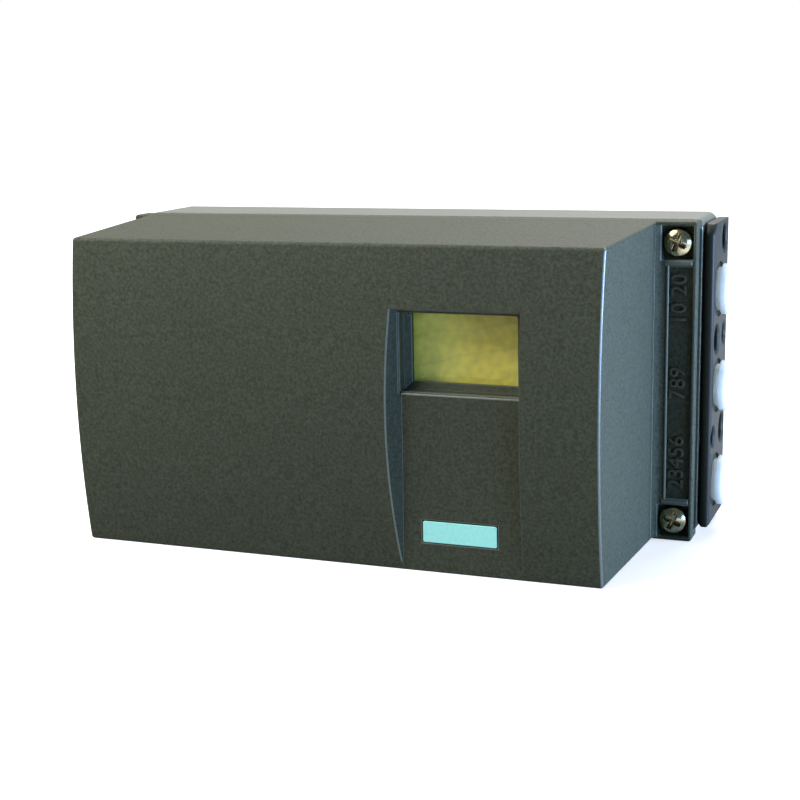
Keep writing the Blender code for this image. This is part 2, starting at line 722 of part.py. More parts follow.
def port_strip():
    """Metal connection strip with three ports and five fastening holes."""
    front = PARTING_Y + FIT_GAP
    outline = [
        (front, height(STRIP_BOTTOM)), (-FIT_GAP, height(STRIP_BOTTOM)),
        (-FIT_GAP, height(STRIP_TOP)), (front + STRIP_CHAMFER, height(STRIP_TOP)),
        (front, height(STRIP_TOP) - STRIP_CHAMFER)]
    strip = extruded(
        "port_strip", [outline], HALF_WIDTH + FIT_GAP, STRIP_X, "black_anodised_aluminium",
        plane=SIDE_PLANE)
    soften(strip, 0.0008)
    for name, front, low, high in strip_stack():
        join(strip, block(
            name, (BLOCK_X, front, height(low)),
            (STRIP_X - 0.0012, BLOCK_BACK, height(high))))
    for name, up in ports():
        cut(strip, stepped_hole(
            f"strip_port_{name}", (STRIP_X, PORT_Y, height(up)), "X",
            PORT_RADIUS, PORT_DEPTH, SPOT_FACE_RADIUS, SPOT_FACE_DEPTH, 24))
    for index, (y, up, radius, depth) in enumerate(strip_holes()):
        cut(strip, chamfered_hole(
            f"strip_hole_{index}", (STRIP_X, y, height(up)), "X", radius, depth, 20))
    for index, (y, up) in enumerate(strip_screws()):
        cut(strip, rod(
            f"strip_screw_hole_{index}", (BLOCK_X - 0.0010, y, height(up)), "X", 0.0062,
            STRIP_SCREW_RADIUS + FIT_GAP, sides=14))
    return strip


def stepped_hole(name, mouth, axis, radius, depth, step_radius, step_depth, steps):
    """Cutter for a blind hole with a wider, shallow mouth; the axis points outwards."""
    profile = [
        (0, 0.0010), (step_radius, 0.0010), (step_radius, -step_depth), (radius, -step_depth),
        (radius, -depth), (0, -depth)]
    return turned(name, profile, mouth, axis, steps=steps)


def chamfered_hole(name, mouth, axis, radius, depth, steps):
    """Cutter for a blind hole with a chamfered mouth; the axis points outwards."""
    rim = radius + HOLE_CHAMFER
    profile = [
        (0, 0.0010), (rim + 0.0010, 0.0010), (radius, -HOLE_CHAMFER), (radius, -depth), (0, -depth)]
    return turned(name, profile, mouth, axis, steps=steps)


def strip_gasket():
    """Flat seal between the strip's block and the base."""
    edge = FIT_GAP
    outer = [
        (BLOCK_FRONT + edge, height(BLOCK_BOTTOM) + edge),
        (BLOCK_BACK - edge, height(BLOCK_BOTTOM) + edge),
        (BLOCK_BACK - edge, height(BLOCK_TOP) - edge),
        (BLOCK_FRONT + edge, height(BLOCK_TOP) - edge)]
    window = [
        (SPIGOT_FRONT - edge, height(SPIGOT_BOTTOM) - edge),
        (SPIGOT_BACK + edge, height(SPIGOT_BOTTOM) - edge),
        (SPIGOT_BACK + edge, height(SPIGOT_TOP) + edge),
        (SPIGOT_FRONT - edge, height(SPIGOT_TOP) + edge)]
    holes = [circle((y, height(up)), STRIP_SCREW_RADIUS + edge, 16) for y, up in strip_screws()]
    return extruded(
        "strip_gasket", [outer, window, *holes], LEDGE_OUTER_X + FIT_GAP, BLOCK_X - FIT_GAP,
        "black_rubber", plane=SIDE_PLANE)


def socket_screw(name, head, axis, radius, length, head_radius, head_height):
    """Cap screw whose head's underside lies at the head point."""
    profile = [
        (0, length), (radius, length), (radius, 0), (head_radius, 0),
        (head_radius, 0.0003 - head_height), (head_radius - 0.0003, -head_height),
        (0, -head_height)]
    screw = turned(name, profile, head, axis, "zinc_plated_steel", steps=10)
    direction = AXES[axis] @ Vector((0, 0, 1))
    start = Vector(head) - direction * (head_height + 0.0005)
    cut(screw, rod(
        f"{name}_socket", start, axis, head_height * 0.6 + 0.0005, head_radius * 0.5, sides=6))


def port_caps():
    """Pull-out plugs that keep dirt out of the ports."""
    seat = STRIP_X - SPOT_FACE_DEPTH + FIT_GAP
    for name, up in ports():
        spigot = PORT_RADIUS - FIT_GAP
        inner = spigot - CAP_WALL
        rim = arc((CAP_RADIUS - CAP_EDGE, CAP_HEIGHT - CAP_EDGE), CAP_EDGE, 90, 0, 4)
        profile = [
            (0, CAP_HEIGHT), *rim, (CAP_RADIUS, 0), (spigot, 0), (spigot, -CAP_SPIGOT),
            (inner, -CAP_SPIGOT), (inner, -CAP_SKIN), (0, -CAP_SKIN)]
        turned(
            f"port_cap_{name}", profile, (seat, PORT_Y, height(up)), "X", "white_polyethylene",
            steps=20)


def cover():
    """Drafted cover with an arched front, a stepped window and screw flanges."""
    shell = arched_form(
        "cover", -COVER_LEFT, COVER_RIGHT, height(0), height(HOUSING_HEIGHT), 0, DRAFT_Y)
    shell.data.materials.append(finish("grained_polycarbonate"))
    soften(shell, COVER_EDGE, segments=2)
    flange = extruded(
        "cover_flange",
        [round_rectangle(
            (-HALF_WIDTH, height(0)), (HALF_WIDTH, height(HOUSING_HEIGHT)), CORNER_RADIUS / 3, 3)],
        FLANGE_Y, PARTING_Y)
    soften(flange, 0.0006, angle=60)
    join(shell, flange, *root_fillets())
    cut(shell, cover_cavity())
    cut(shell, recess_cutter())
    cut_window(shell)
    cut_flanges(shell)
    groove = SEAL_WIDTH / 2 + FIT_GAP
    cut(shell, extruded(
        "cover_seal_groove", [seal_outline(groove), seal_outline(-groove)],
        PARTING_Y - SEAL_HEIGHT - FIT_GAP, PARTING_Y + 0.0010))
    return shell


def root_fillets():
    """Concave fillets where the side walls run into the flanges."""
    fillets = []
    for name, side, x in (("left", -1, -COVER_LEFT), ("right", 1, COVER_RIGHT)):
        start = FLANGE_Y + 0.00003
        curve = arc((ROOT_FILLET, -ROOT_FILLET), ROOT_FILLET, 90, 180, 5)
        outline = [(x - side * 0.0010, start + 0.0008), (x + side * ROOT_FILLET, start + 0.0008)]
        outline += [(x + side * across, start + along) for across, along in curve]
        outline.append((x - side * 0.0010, start - ROOT_FILLET))
        fillet = extruded(
            f"cover_fillet_{name}", [outline], height(COVER_EDGE),
            height(HOUSING_HEIGHT - COVER_EDGE), plane=Matrix.Identity(4))
        fillet.location = (0, 0, 0)
        fillets.append(fillet)
    return fillets


def cover_cavity():
    """Inside of the cover, less the metal that backs the recess and the window frame."""
    back = PARTING_Y + 0.0010
    cavity = arched_form(
        "cover_cavity", -HALF_WIDTH + CORNER_BOSS_WIDTH, COVER_RIGHT - WALL, height(WALL),
        height(HOUSING_HEIGHT - WALL), WALL, back)
    join(cavity, arched_form(
        "cover_cavity_wide", -COVER_LEFT + WALL, COVER_RIGHT - 2 * WALL, height(CORNER_BOSS),
        height(HOUSING_HEIGHT - CORNER_BOSS), WALL + 0.0005, back - 0.0005))
    deep = -HOUSING_DEPTH - 0.0010
    cut(cavity, block(
        "recess_backing",
        (RECESS_LEFT - WALL, deep, height(-0.0010)),
        (RECESS_RIGHT + WALL, RECESS_Y + WALL, height(RECESS_TOP) + WALL)))
    cut(cavity, block(
        "window_backing",
        (WINDOW_X - WINDOW_WIDTH / 2 - WALL, deep, height(WINDOW_UP - WINDOW_HEIGHT / 2) - WALL),
        (WINDOW_RIGHT + WALL, FRAME_BACK_Y, height(WINDOW_UP + WINDOW_HEIGHT / 2) + WALL)))
    return cavity


def recess_edge(z):
    """X of the recess's curved left edge where it meets the arched front."""
    middle = height((HOUSING_HEIGHT - TOP_DRAFT) / 2)
    bow = RECESS_EDGE_RADIUS - math.sqrt(RECESS_EDGE_RADIUS ** 2 - (z - middle) ** 2)
    return RECESS_LEFT + bow


def recess_cutter():
    """Flat-bottomed recess that fades out at the cover's lower edge, with a sloping left wall."""
    low = height(-0.0030)
    high = height(RECESS_TOP)
    steps = 14
    floor = [(RECESS_RIGHT, low), (RECESS_RIGHT, high)]
    for step in range(steps + 1):
        z = high + (low - high) * step / steps
        depth = max(RECESS_Y - front_y(max(z, height(0))), 0)
        floor.append((recess_edge(z) + RECESS_WALL_SLOPE * depth, z))
    outer = RECESS_Y - FRONT_BULGE - 0.0030
    cutter = extruded("cover_recess", [floor], outer, RECESS_Y)
    for vertex in cutter.data.vertices:
        in_front = vertex.co.y < 0
        if in_front and vertex.co.x < RECESS_RIGHT - 0.0010:
            vertex.co.x -= RECESS_WALL_SLOPE * (RECESS_Y - outer)
    return cutter


def cut_window(shell):
    """Stepped opening: straight wall, slope, lip, and a seat for the pane behind."""
    left = WINDOW_X - WINDOW_WIDTH / 2
    low = height(WINDOW_UP - WINDOW_HEIGHT / 2)
    high = height(WINDOW_UP + WINDOW_HEIGHT / 2)
    slope_y = RECESS_Y + WINDOW_DEPTH
    cut(shell, block(
        "window_pocket", (left, RECESS_Y - 0.0010, low), (WINDOW_RIGHT, slope_y, high)))
    deeper = 0.0002
    cut(shell, tapered_block(
        "window_slope", (left, slope_y - 0.00001, low),
        (WINDOW_RIGHT, slope_y + WINDOW_BEVEL + deeper, high), WINDOW_BEVEL + deeper))
    cut(shell, block(
        "window_opening",
        (left + WINDOW_BEVEL, slope_y + WINDOW_BEVEL - 0.0005, low + WINDOW_BEVEL),
        (WINDOW_RIGHT - WINDOW_BEVEL, FRAME_BACK_Y + 0.0010, high - WINDOW_BEVEL)))
    seat = WINDOW_BEVEL - PANE_LEDGE - FIT_GAP
    cut(shell, block(
        "pane_seat", (left + seat, PANE_SEAT_Y, low + seat),
        (WINDOW_RIGHT - seat, FRAME_BACK_Y + 0.0010, high - seat)))
    edge = FIT_GAP
    cut(shell, block(
        "name_plate_seat",
        (WINDOW_X - PLATE_WIDTH / 2 - edge, RECESS_Y - 0.0030, height(PLATE_UP - PLATE_HEIGHT / 2) - edge),
        (WINDOW_X + PLATE_WIDTH / 2 + edge, RECESS_Y + PLATE_SINK,
         height(PLATE_UP + PLATE_HEIGHT / 2) + edge)))


def cut_flanges(shell):
    """Screw pockets and the sunk panel on the right, screw wells in the left wall."""
    floor = FLANGE_Y + POCKET_DEPTH
    ahead = FLANGE_Y - 0.0010
    right = HALF_WIDTH - FLANGE_RIM
    pocket_left = SCREW_X - POCKET_HALF_HEIGHT + 0.0003
    for name, x, z in corner_screws():
        cut(shell, rod(
            f"cover_screw_hole_{name}", (x, floor - 0.0010, z), "Y", FLANGE_DEPTH + 0.0020,
            SCREW_RADIUS + 2 * FIT_GAP, sides=20))
        if x > 0:
            cut(shell, block(
                f"cover_pocket_{name}", (pocket_left, ahead, z - POCKET_HALF_HEIGHT),
                (right, floor, z + POCKET_HALF_HEIGHT)))
        else:
            well = (x, floor, z)
            well_length = 0.0130
            cut(shell, rod(
                f"cover_well_{name}", well, "-Y", well_length, SCREW_HEAD_RADIUS + 0.0003))
            cut(shell, rod(
                f"cover_driver_path_{name}", (x, floor - well_length + 0.0005, z), "-Y",
                HOUSING_DEPTH, DRIVER_RADIUS, sides=24))
    inset = SCREW_INSET_Z + POCKET_HALF_HEIGHT + FLANGE_RIB
    cut(shell, block(
        "cover_panel", (PANEL_LEFT, ahead, height(inset)),
        (right, FLANGE_Y + PANEL_DEPTH, height(HOUSING_HEIGHT - inset))))


def cover_trim():
    """Window pane, blank name plate and the seal that lift off with the cover."""
    left = WINDOW_X - WINDOW_WIDTH / 2 + WINDOW_BEVEL - PANE_LEDGE
    right = WINDOW_RIGHT - WINDOW_BEVEL + PANE_LEDGE
    half = WINDOW_HEIGHT / 2 - WINDOW_BEVEL + PANE_LEDGE
    block(
        "window_pane",
        (left, PANE_SEAT_Y + FIT_GAP, height(WINDOW_UP) - half),
        (right, PANE_SEAT_Y + FIT_GAP + PANE_THICKNESS, height(WINDOW_UP) + half),
        "clear_polycarbonate", edge=0.0002)
    back = RECESS_Y + PLATE_SINK - FIT_GAP
    block(
        "name_plate",
        (WINDOW_X - PLATE_WIDTH / 2, back - PLATE_THICKNESS, height(PLATE_UP - PLATE_HEIGHT / 2)),
        (WINDOW_X + PLATE_WIDTH / 2, back, height(PLATE_UP + PLATE_HEIGHT / 2)),
        "teal_label")
    extruded(
        "cover_seal", [seal_outline(SEAL_WIDTH / 2), seal_outline(-SEAL_WIDTH / 2)],
        PARTING_Y - SEAL_HEIGHT, PARTING_Y - FIT_GAP, "black_rubber")


def cover_screws():
    """Captive pan-head screws with a cross recess."""
    seat = FLANGE_Y + POCKET_DEPTH - FIT_GAP
    tip = PARTING_Y + SCREW_GRIP - seat
    rise = SCREW_HEAD_HEIGHT
    radius = SCREW_HEAD_RADIUS
    for name, x, z in corner_screws():
        profile = [
            (0, rise), (radius * 0.62, rise - 0.0002), (radius * 0.9, rise * 0.7),
            (radius, rise * 0.3), (radius, 0), (SCREW_RADIUS, 0), (SCREW_RADIUS, -tip), (0, -tip)]
        screw = turned(
            f"cover_screw_{name}", profile, (x, seat, z), "-Y", "zinc_plated_steel", steps=16)
        cut(screw, *cross_recess(
            f"cover_screw_{name}_slot", (x, z), seat - rise, radius * 0.52, rise * 0.55))


def cable_entries():
    """Cable gland above and blanking plug below, on the left side."""
    y = ENTRY_Y
    z = height(UPPER_ENTRY)
    place = (ENTRY_X, y, z)
    inner = SIDE_WALL + FIT_GAP
    gland = turned(
        "gland_body",
        [(GLAND_THREAD_RADIUS, GLAND_HEX + GLAND_THREAD), (GLAND_THREAD_RADIUS, GLAND_HEX - 0.0010),
         (ENTRY_RADIUS, GLAND_HEX - 0.0010), (ENTRY_RADIUS, -inner), (GLAND_BORE, -inner),
         (GLAND_BORE, GLAND_HEX + GLAND_THREAD)],
        place, "-X", "black_polyamide")
    corner = GLAND_FLATS / math.sqrt(3)
    hexagon = rod("gland_hexagon", place, "-X", GLAND_HEX, corner, sides=6)
    cut(hexagon, rod(
        "gland_hexagon_bore", (ENTRY_X + 0.0010, y, z), "-X", GLAND_HEX + 0.0020, GLAND_BORE + 0.0008))
    join(gland, hexagon)
    seal_start = ENTRY_X - 0.0010
    turned(
        "gland_seal",
        [(GLAND_BORE - FIT_GAP, GLAND_HEX + GLAND_THREAD), (GLAND_BORE - FIT_GAP, 0),
         (CABLE_HOLE, 0), (CABLE_HOLE, GLAND_HEX + GLAND_THREAD)],
        (seal_start, y, z), "-X", "black_rubber")
    gland_nut(y, z)
    blanking_plug(y, height(LOWER_ENTRY), inner)


def gland_nut(y, z):
    """Dome nut that squeezes the gland's seal."""
    start = ENTRY_X - GLAND_HEX - FIT_GAP
    outer = GLAND_FLATS / 2
    bore = GLAND_THREAD_RADIUS + FIT_GAP
    seat = GLAND_THREAD + 2 * FIT_GAP + 0.0010
    nut = turned(
        "gland_nut",
        [(CABLE_HOLE + 0.0010, GLAND_NUT_LENGTH), (CABLE_HOLE + 0.0026, GLAND_NUT_LENGTH),
         (outer - 0.0012, GLAND_NUT_LENGTH - 0.0026), (outer + 0.0008, GLAND_NUT_LENGTH - 0.0052),
         (outer + 0.0008, 0), (bore, 0), (bore, seat), (CABLE_HOLE + 0.0010, seat)],
        (start, y, z), "-X", "black_polyamide")
    combine(nut, rod(
        "gland_nut_flats", (start + 0.0010, y, z), "-X", GLAND_NUT_LENGTH + 0.0020,
        GLAND_FLATS / math.sqrt(3), sides=6), "INTERSECT")


def blanking_plug(y, z, inner):
    """Screwed plug in the unused cable entry, with its ring."""
    head = ENTRY_RADIUS + PLUG_RIM
    turned(
        "blanking_plug_ring",
        [(head, PLUG_RING), (head, 0), (ENTRY_RADIUS + FIT_GAP, 0),
         (ENTRY_RADIUS + FIT_GAP, PLUG_RING)],
        (ENTRY_X, y, z), "-X", "black_rubber")
    bottom = PLUG_RING + FIT_GAP
    top = bottom + PLUG_HEAD
    bore = ENTRY_RADIUS - PLUG_WALL
    plug = turned(
        "blanking_plug",
        [(0, top), (head - PLUG_EDGE, top), (head, top - PLUG_EDGE), (head, bottom),
         (ENTRY_RADIUS, bottom), (ENTRY_RADIUS, -inner), (bore, -inner), (bore, bottom),
         (0, bottom)],
        (ENTRY_X, y, z), "-X", "black_polyamide")
    reach = ENTRY_RADIUS * 0.7
    cut(plug, block(
        "blanking_plug_slot",
        (ENTRY_X - top - PLUG_EDGE, y - PLUG_SLOT * 0.6, z - reach),
        (ENTRY_X - top + PLUG_SLOT, y + PLUG_SLOT * 0.6, z + reach)))


def ground_screw():
    place = (ENTRY_X, ENTRY_Y, height((UPPER_ENTRY + LOWER_ENTRY) / 2))
    screw = turned(
        "ground_screw",
        [(0, 0.0030), (GROUND_HEAD_RADIUS * 0.7, 0.0029), (GROUND_HEAD_RADIUS, 0.0018),
         (GROUND_HEAD_RADIUS, 0.0008), (GROUND_HEAD_RADIUS + 0.0010, 0.0008),
         (GROUND_HEAD_RADIUS + 0.0010, 0), (MODULE_SCREW_RADIUS, 0), (MODULE_SCREW_RADIUS, -0.0035),
         (0, -0.0035)],
        place, "-X", "stainless_steel", steps=14)
    cut(screw, block(
        "ground_screw_slot",
        (ENTRY_X - 0.0040, ENTRY_Y - 0.0005, place[2] - 0.0050),
        (ENTRY_X - 0.0018, ENTRY_Y + 0.0005, place[2] + 0.0050)))


def gear_outline(teeth, module, backlash=0.00005):
    """Tooth outline about the origin: straight flanks that narrow from root to tip."""
    pitch = teeth * module / 2
    levels = (
        (pitch - 1.2 * module, 0.30), (pitch, 0.235), (pitch + 0.95 * module, 0.120))
    trim = backlash / pitch
    points = []
    for tooth in range(teeth):
        centre = 2 * math.pi * tooth / teeth
        flank = [(radius, 2 * math.pi / teeth * share - trim) for radius, share in levels]
        for radius, half in flank:
            points.append((radius, centre - half))
        for radius, half in reversed(flank):
            points.append((radius, centre + half))
    return [(radius * math.cos(angle), radius * math.sin(angle)) for radius, angle in points]


def turned_outline(outline, centre, angle):
    """Outline turned by an angle in radians and moved to a centre."""
    cosine = math.cos(angle)
    sine = math.sin(angle)
    return [
        (centre[0] + cosine * across - sine * up, centre[1] + sine * across + cosine * up)
        for across, up in outline]


def feedback_shaft():
    """Shaft through the rear wall, with a flat for the lever and a groove for the circlip."""
    centre = (SHAFT_X, height(SHAFT_UP))
    front = SHAFT_END_Y
    groove_near = CIRCLIP_Y + FIT_GAP / 2
    groove_far = CIRCLIP_Y - CIRCLIP_THICKNESS - FIT_GAP / 2
    radius = SHAFT_RADIUS
    profile = [
        (0, SHAFT_OUTSIDE), (radius - 0.0005, SHAFT_OUTSIDE), (radius, SHAFT_OUTSIDE - 0.0005),
        (radius, groove_near), (radius - 0.0006, groove_near), (radius - 0.0006, groove_far),
        (radius, groove_far), (radius, front + 0.0003), (radius - 0.0003, front), (0, front)]
    shaft = turned("feedback_shaft", profile, (centre[0], 0, centre[1]), "Y", "stainless_steel")
    cut(shaft, block(
        "shaft_flat",
        (centre[0] - 2 * radius, SHAFT_OUTSIDE - SHAFT_FLAT_LENGTH, centre[1] + radius - SHAFT_FLAT),
        (centre[0] + 2 * radius, SHAFT_OUTSIDE + 0.0010, centre[1] + 2 * radius)))
    inner = radius - 0.0006 + FIT_GAP / 2
    outer = radius + 0.0016
    ring = arc(centre, outer, -55, 235, 22) + list(reversed(arc(centre, inner, -55, 235, 22)))
    extruded(
        "shaft_circlip", [ring], CIRCLIP_Y - CIRCLIP_THICKNESS, CIRCLIP_Y, "stainless_steel",
        pivot=centre)


def shaft_bearing():
    """Flanged bush in the base's boss and the seal ring behind it."""
    centre = (SHAFT_X, 0, height(SHAFT_UP))
    bore = SHAFT_RADIUS + RUNNING_GAP
    flange_back = BUSH_FRONT_Y + BUSH_FLANGE
    back = -(SEAL_RING_DEPTH + 2 * FIT_GAP)
    turned(
        "shaft_bush",
        [(BUSH_RADIUS, back), (BUSH_RADIUS, flange_back), (BUSH_FLANGE_RADIUS, flange_back),
         (BUSH_FLANGE_RADIUS, BUSH_FRONT_Y), (bore, BUSH_FRONT_Y), (bore, back)],
        centre, "Y", "brass")
    turned(
        "shaft_seal",
        [(SEAL_RING_RADIUS, -0.0004), (SEAL_RING_RADIUS, -SEAL_RING_DEPTH),
         (bore, -SEAL_RING_DEPTH), (bore, -0.0012), (bore + 0.0012, -0.0004)],
        centre, "Y", "black_rubber")


def gear_train():
    """Drive gear and adjusting wheel on the shaft, pinion on the potentiometer."""
    centre = (SHAFT_X, height(SHAFT_UP))
    holes = [circle((centre[0] + 0.0098 * math.cos(math.radians(angle)),
                     centre[1] + 0.0098 * math.sin(math.radians(angle))), 0.0030, 8)
             for angle in (30, 120, 210, 300)]
    bore = SHAFT_RADIUS + FIT_GAP / 2
    teeth = turned_outline(gear_outline(GEAR_TEETH, GEAR_MODULE), centre, math.pi / 2)
    extruded(
        "drive_gear", [teeth, circle(centre, bore, 28), *holes], GEAR_FRONT_Y, GEAR_BACK_Y,
        "white_acetal", pivot=centre)
    adjusting_wheel(centre, bore)
    pinion_centre = (centre[0], centre[1] + GEAR_DISTANCE)
    half_tooth = math.pi / PINION_TEETH
    pinion_teeth = turned_outline(
        gear_outline(PINION_TEETH, GEAR_MODULE), pinion_centre, -math.pi / 2 + half_tooth)
    pinion = extruded(
        "potentiometer_pinion", [pinion_teeth], GEAR_FRONT_Y, GEAR_BACK_Y, "white_acetal",
        pivot=pinion_centre)
    join(pinion, rod(
        "pinion_shaft", (pinion_centre[0], GEAR_BACK_Y - 0.0005, pinion_centre[1]), "Y", 0.0055,
        PINION_SHAFT_RADIUS, sides=24))
    join(pinion, rod(
        "pinion_pin", (pinion_centre[0], GEAR_FRONT_Y + 0.0005, pinion_centre[1]), "-Y",
        GEAR_FRONT_Y + 0.0005 - BRACKET_FRONT_Y, PINION_PIN_RADIUS, sides=20))
    potentiometer(pinion_centre)


def adjusting_wheel(centre, bore):
    """Notched wheel that turns the shaft's friction clutch by hand."""
    rim = []
    for notch in range(WHEEL_NOTCHES):
        for share, radius in ((0.0, WHEEL_RADIUS), (0.42, WHEEL_RADIUS),
                              (0.56, WHEEL_RADIUS - 0.0009), (0.86, WHEEL_RADIUS - 0.0009)):
            angle = 2 * math.pi * (notch + share) / WHEEL_NOTCHES
            rim.append((centre[0] + radius * math.cos(angle), centre[1] + radius * math.sin(angle)))
    wheel = extruded(
        "adjusting_wheel", [rim, circle(centre, bore, 28)], WHEEL_FRONT_Y, GEAR_FRONT_Y - FIT_GAP,
        "yellow_acetal", pivot=centre)
    dish = turned(
        "adjusting_wheel_dish",
        [(0.0138, 0.0010), (0.0138, -0.0013), (0.0068, -0.0013), (0.0068, 0.0010)],
        (centre[0], WHEEL_FRONT_Y, centre[1]), "-Y")
    cut(wheel, dish)


def potentiometer(centre):
    """Rotary position sensor under the pinion, standing on the base."""
    front = GEAR_BACK_Y + 4 * FIT_GAP
    body_back = FLOOR_Y - FIT_GAP
    bore = PINION_SHAFT_RADIUS + RUNNING_GAP
    neck = 0.0046
    body = turned(
        "potentiometer",
        [(0, body_back), (POT_RADIUS, body_back), (POT_RADIUS, front + 0.0016),
         (neck, front + 0.0016), (neck, front), (bore, front), (bore, front + 0.0052),
         (0, front + 0.0052)],
        (centre[0], 0, centre[1]), "Y", "grey_abs")
    for index in range(3):
        x = centre[0] + 0.0035 * (index - 1)
        join(body, block(
            f"potentiometer_lug_{index}",
            (x - 0.0006, body_back - 0.0035, centre[1] + POT_RADIUS - 0.0015),
            (x + 0.0006, body_back - 0.0025, centre[1] + POT_RADIUS + 0.0030)))


def gear_bracket():
    """Steel plate that carries the pinion's front pin and the ratio selector."""
    left, right, low, high = bracket_span()
    centre = (SHAFT_X, height(SHAFT_UP))
    pinion = (centre[0], centre[1] + GEAR_DISTANCE)
    holes = [
        circle(centre, WHEEL_RADIUS + BRACKET_MARGIN, 36),
        circle(pinion, PINION_PIN_RADIUS + RUNNING_GAP, 20)]
    holes += [circle(post, MODULE_SCREW_RADIUS + FIT_GAP, 16) for post in bracket_posts()]
    x, z = selector_place()
    half = SELECTOR_STEM / 2 + FIT_GAP
    holes.append([
        (x - half, z - SELECTOR_TRAVEL - half), (x + half, z - SELECTOR_TRAVEL - half),
        (x + half, z + half), (x - half, z + half)])
    extruded(
        "gear_bracket", [round_rectangle((left, low), (right, high), 0.0030, 3), *holes],
        BRACKET_FRONT_Y, BRACKET_BACK_Y, "zinc_plated_steel")
    posts = list(bracket_posts())
    for name, (x, z) in (("upper", posts[1]), ("lower", posts[2])):
        socket_screw(
            f"bracket_screw_{name}", (x, BRACKET_FRONT_Y - FIT_GAP, z), "Y", MODULE_SCREW_RADIUS,
            0.0075, MODULE_SCREW_HEAD, MODULE_SCREW_HEAD_HEIGHT)


def selector_place():
    """Centre of the ratio selector at its upper stop."""
    left, _, _, high = bracket_span()
    return left + 0.0110, high - 0.0085


def ratio_selector():
    """Slide that sets the stroke range, in a slot of the bracket."""
    x, z = selector_place()
    half = SELECTOR_SIZE / 2
    back = BRACKET_FRONT_Y - FIT_GAP
    knob = block(
        "ratio_selector", (x - half, back - 0.0034, z - half), (x + half, back, z + half),
        "yellow_acetal", edge=0.0005)
    stem = SELECTOR_STEM / 2
    join(knob, block(
        "ratio_selector_stem", (x - stem, back - 0.0010, z - stem),
        (x + stem, BRACKET_BACK_Y + 0.0012, z + stem)))
    cut(knob, block(
        "ratio_selector_grip", (x - half - 0.0010, back - 0.0060, z - 0.0006),
        (x + half + 0.0010, back - 0.0026, z + 0.0006)))


def electronics_tray():
    """Open box on the base's posts that holds the circuit board."""
    front = MODULE_Y + DISPLAY_FRAME + COVER_PLATE + FIT_GAP
    tray = block(
        "electronics_tray", (TRAY_LEFT, front, height(TRAY_BOTTOM)),
        (TRAY_RIGHT, TRAY_BACK, height(TRAY_TOP)), "black_polyamide", edge=0.0008)
    cut(tray, block(
        "tray_inside",
        (TRAY_LEFT + TRAY_WALL, front - 0.0010, height(TRAY_BOTTOM) + TRAY_WALL),
        (TRAY_RIGHT - TRAY_WALL, TRAY_BACK - TRAY_WALL, height(TRAY_TOP) - TRAY_WALL)))
    board_back = board_y() + BOARD_THICKNESS
    inside = TRAY_BACK - TRAY_WALL + 0.0005
    for index, (x, z) in enumerate(board_posts()):
        join(tray, rod(
            f"tray_post_{index}", (x, inside, z), "-Y", inside - board_back - FIT_GAP, 0.0026,
            sides=16))
    for index, (x, z) in enumerate(tray_posts()):
        cut(tray, rod(
            f"tray_screw_hole_{index}", (x, TRAY_BACK - TRAY_WALL - 0.0010, z), "Y",
            TRAY_WALL + 0.0020, MODULE_SCREW_RADIUS + FIT_GAP, sides=16))
    return tray


def board_y():
    """Front face of the main circuit board."""
    return MODULE_Y + DISPLAY_FRAME + COVER_PLATE + BOARD_SETBACK


def board_posts():
    for x in (TRAY_LEFT + TRAY_POST_INSET, TRAY_RIGHT - TRAY_POST_INSET):
        for up in (TRAY_BOTTOM + BOARD_POST_INSET, TRAY_TOP - BOARD_POST_INSET):
            yield x, height(up)


def module_screws():
    for index, (x, z) in enumerate(tray_posts()):
        if index in (1, 2):
            name = "upper" if index == 1 else "lower"
            socket_screw(
                f"module_screw_{name}", (x, TRAY_BACK - TRAY_WALL - FIT_GAP, z), "Y",
                MODULE_SCREW_RADIUS, MODULE_SCREW_LENGTH, MODULE_SCREW_HEAD,
                MODULE_SCREW_HEAD_HEIGHT)


def main_board():
    """Circuit board with its tallest components."""
    edge = TRAY_WALL + FIT_GAP
    low = height(TRAY_BOTTOM) + edge
    high = height(TRAY_TOP) - edge
    left = TRAY_LEFT + edge
    right = TRAY_RIGHT - edge
    y = board_y()
    board = block(
        "main_board", (left, y, low), (right, y + BOARD_THICKNESS, high), "circuit_board_green")
    middle = (left + right) / 2
    sink = y + 0.0004
    for index, (dx, z, wide, tall, thick) in enumerate((
            (-0.0120, high - 0.0199, 0.0120, 0.0120, 0.0018),
            (0.0100, high - 0.0319, 0.0160, 0.0060, 0.0050),
            (-0.0120, low + 0.0300, 0.0080, 0.0140, 0.0024),
            (0.0120, low + 0.0200, 0.0100, 0.0080, 0.0032))):
        join(board, block(
            f"board_part_{index}",
            (middle + dx - wide / 2, y - thick, z - tall / 2),
            (middle + dx + wide / 2, sink, z + tall / 2)))
    join(board, rod(
        "board_capacitor", (middle - 0.0020, sink, low + 0.0120), "-Y", 0.0060, 0.0032, sides=20))
    return board


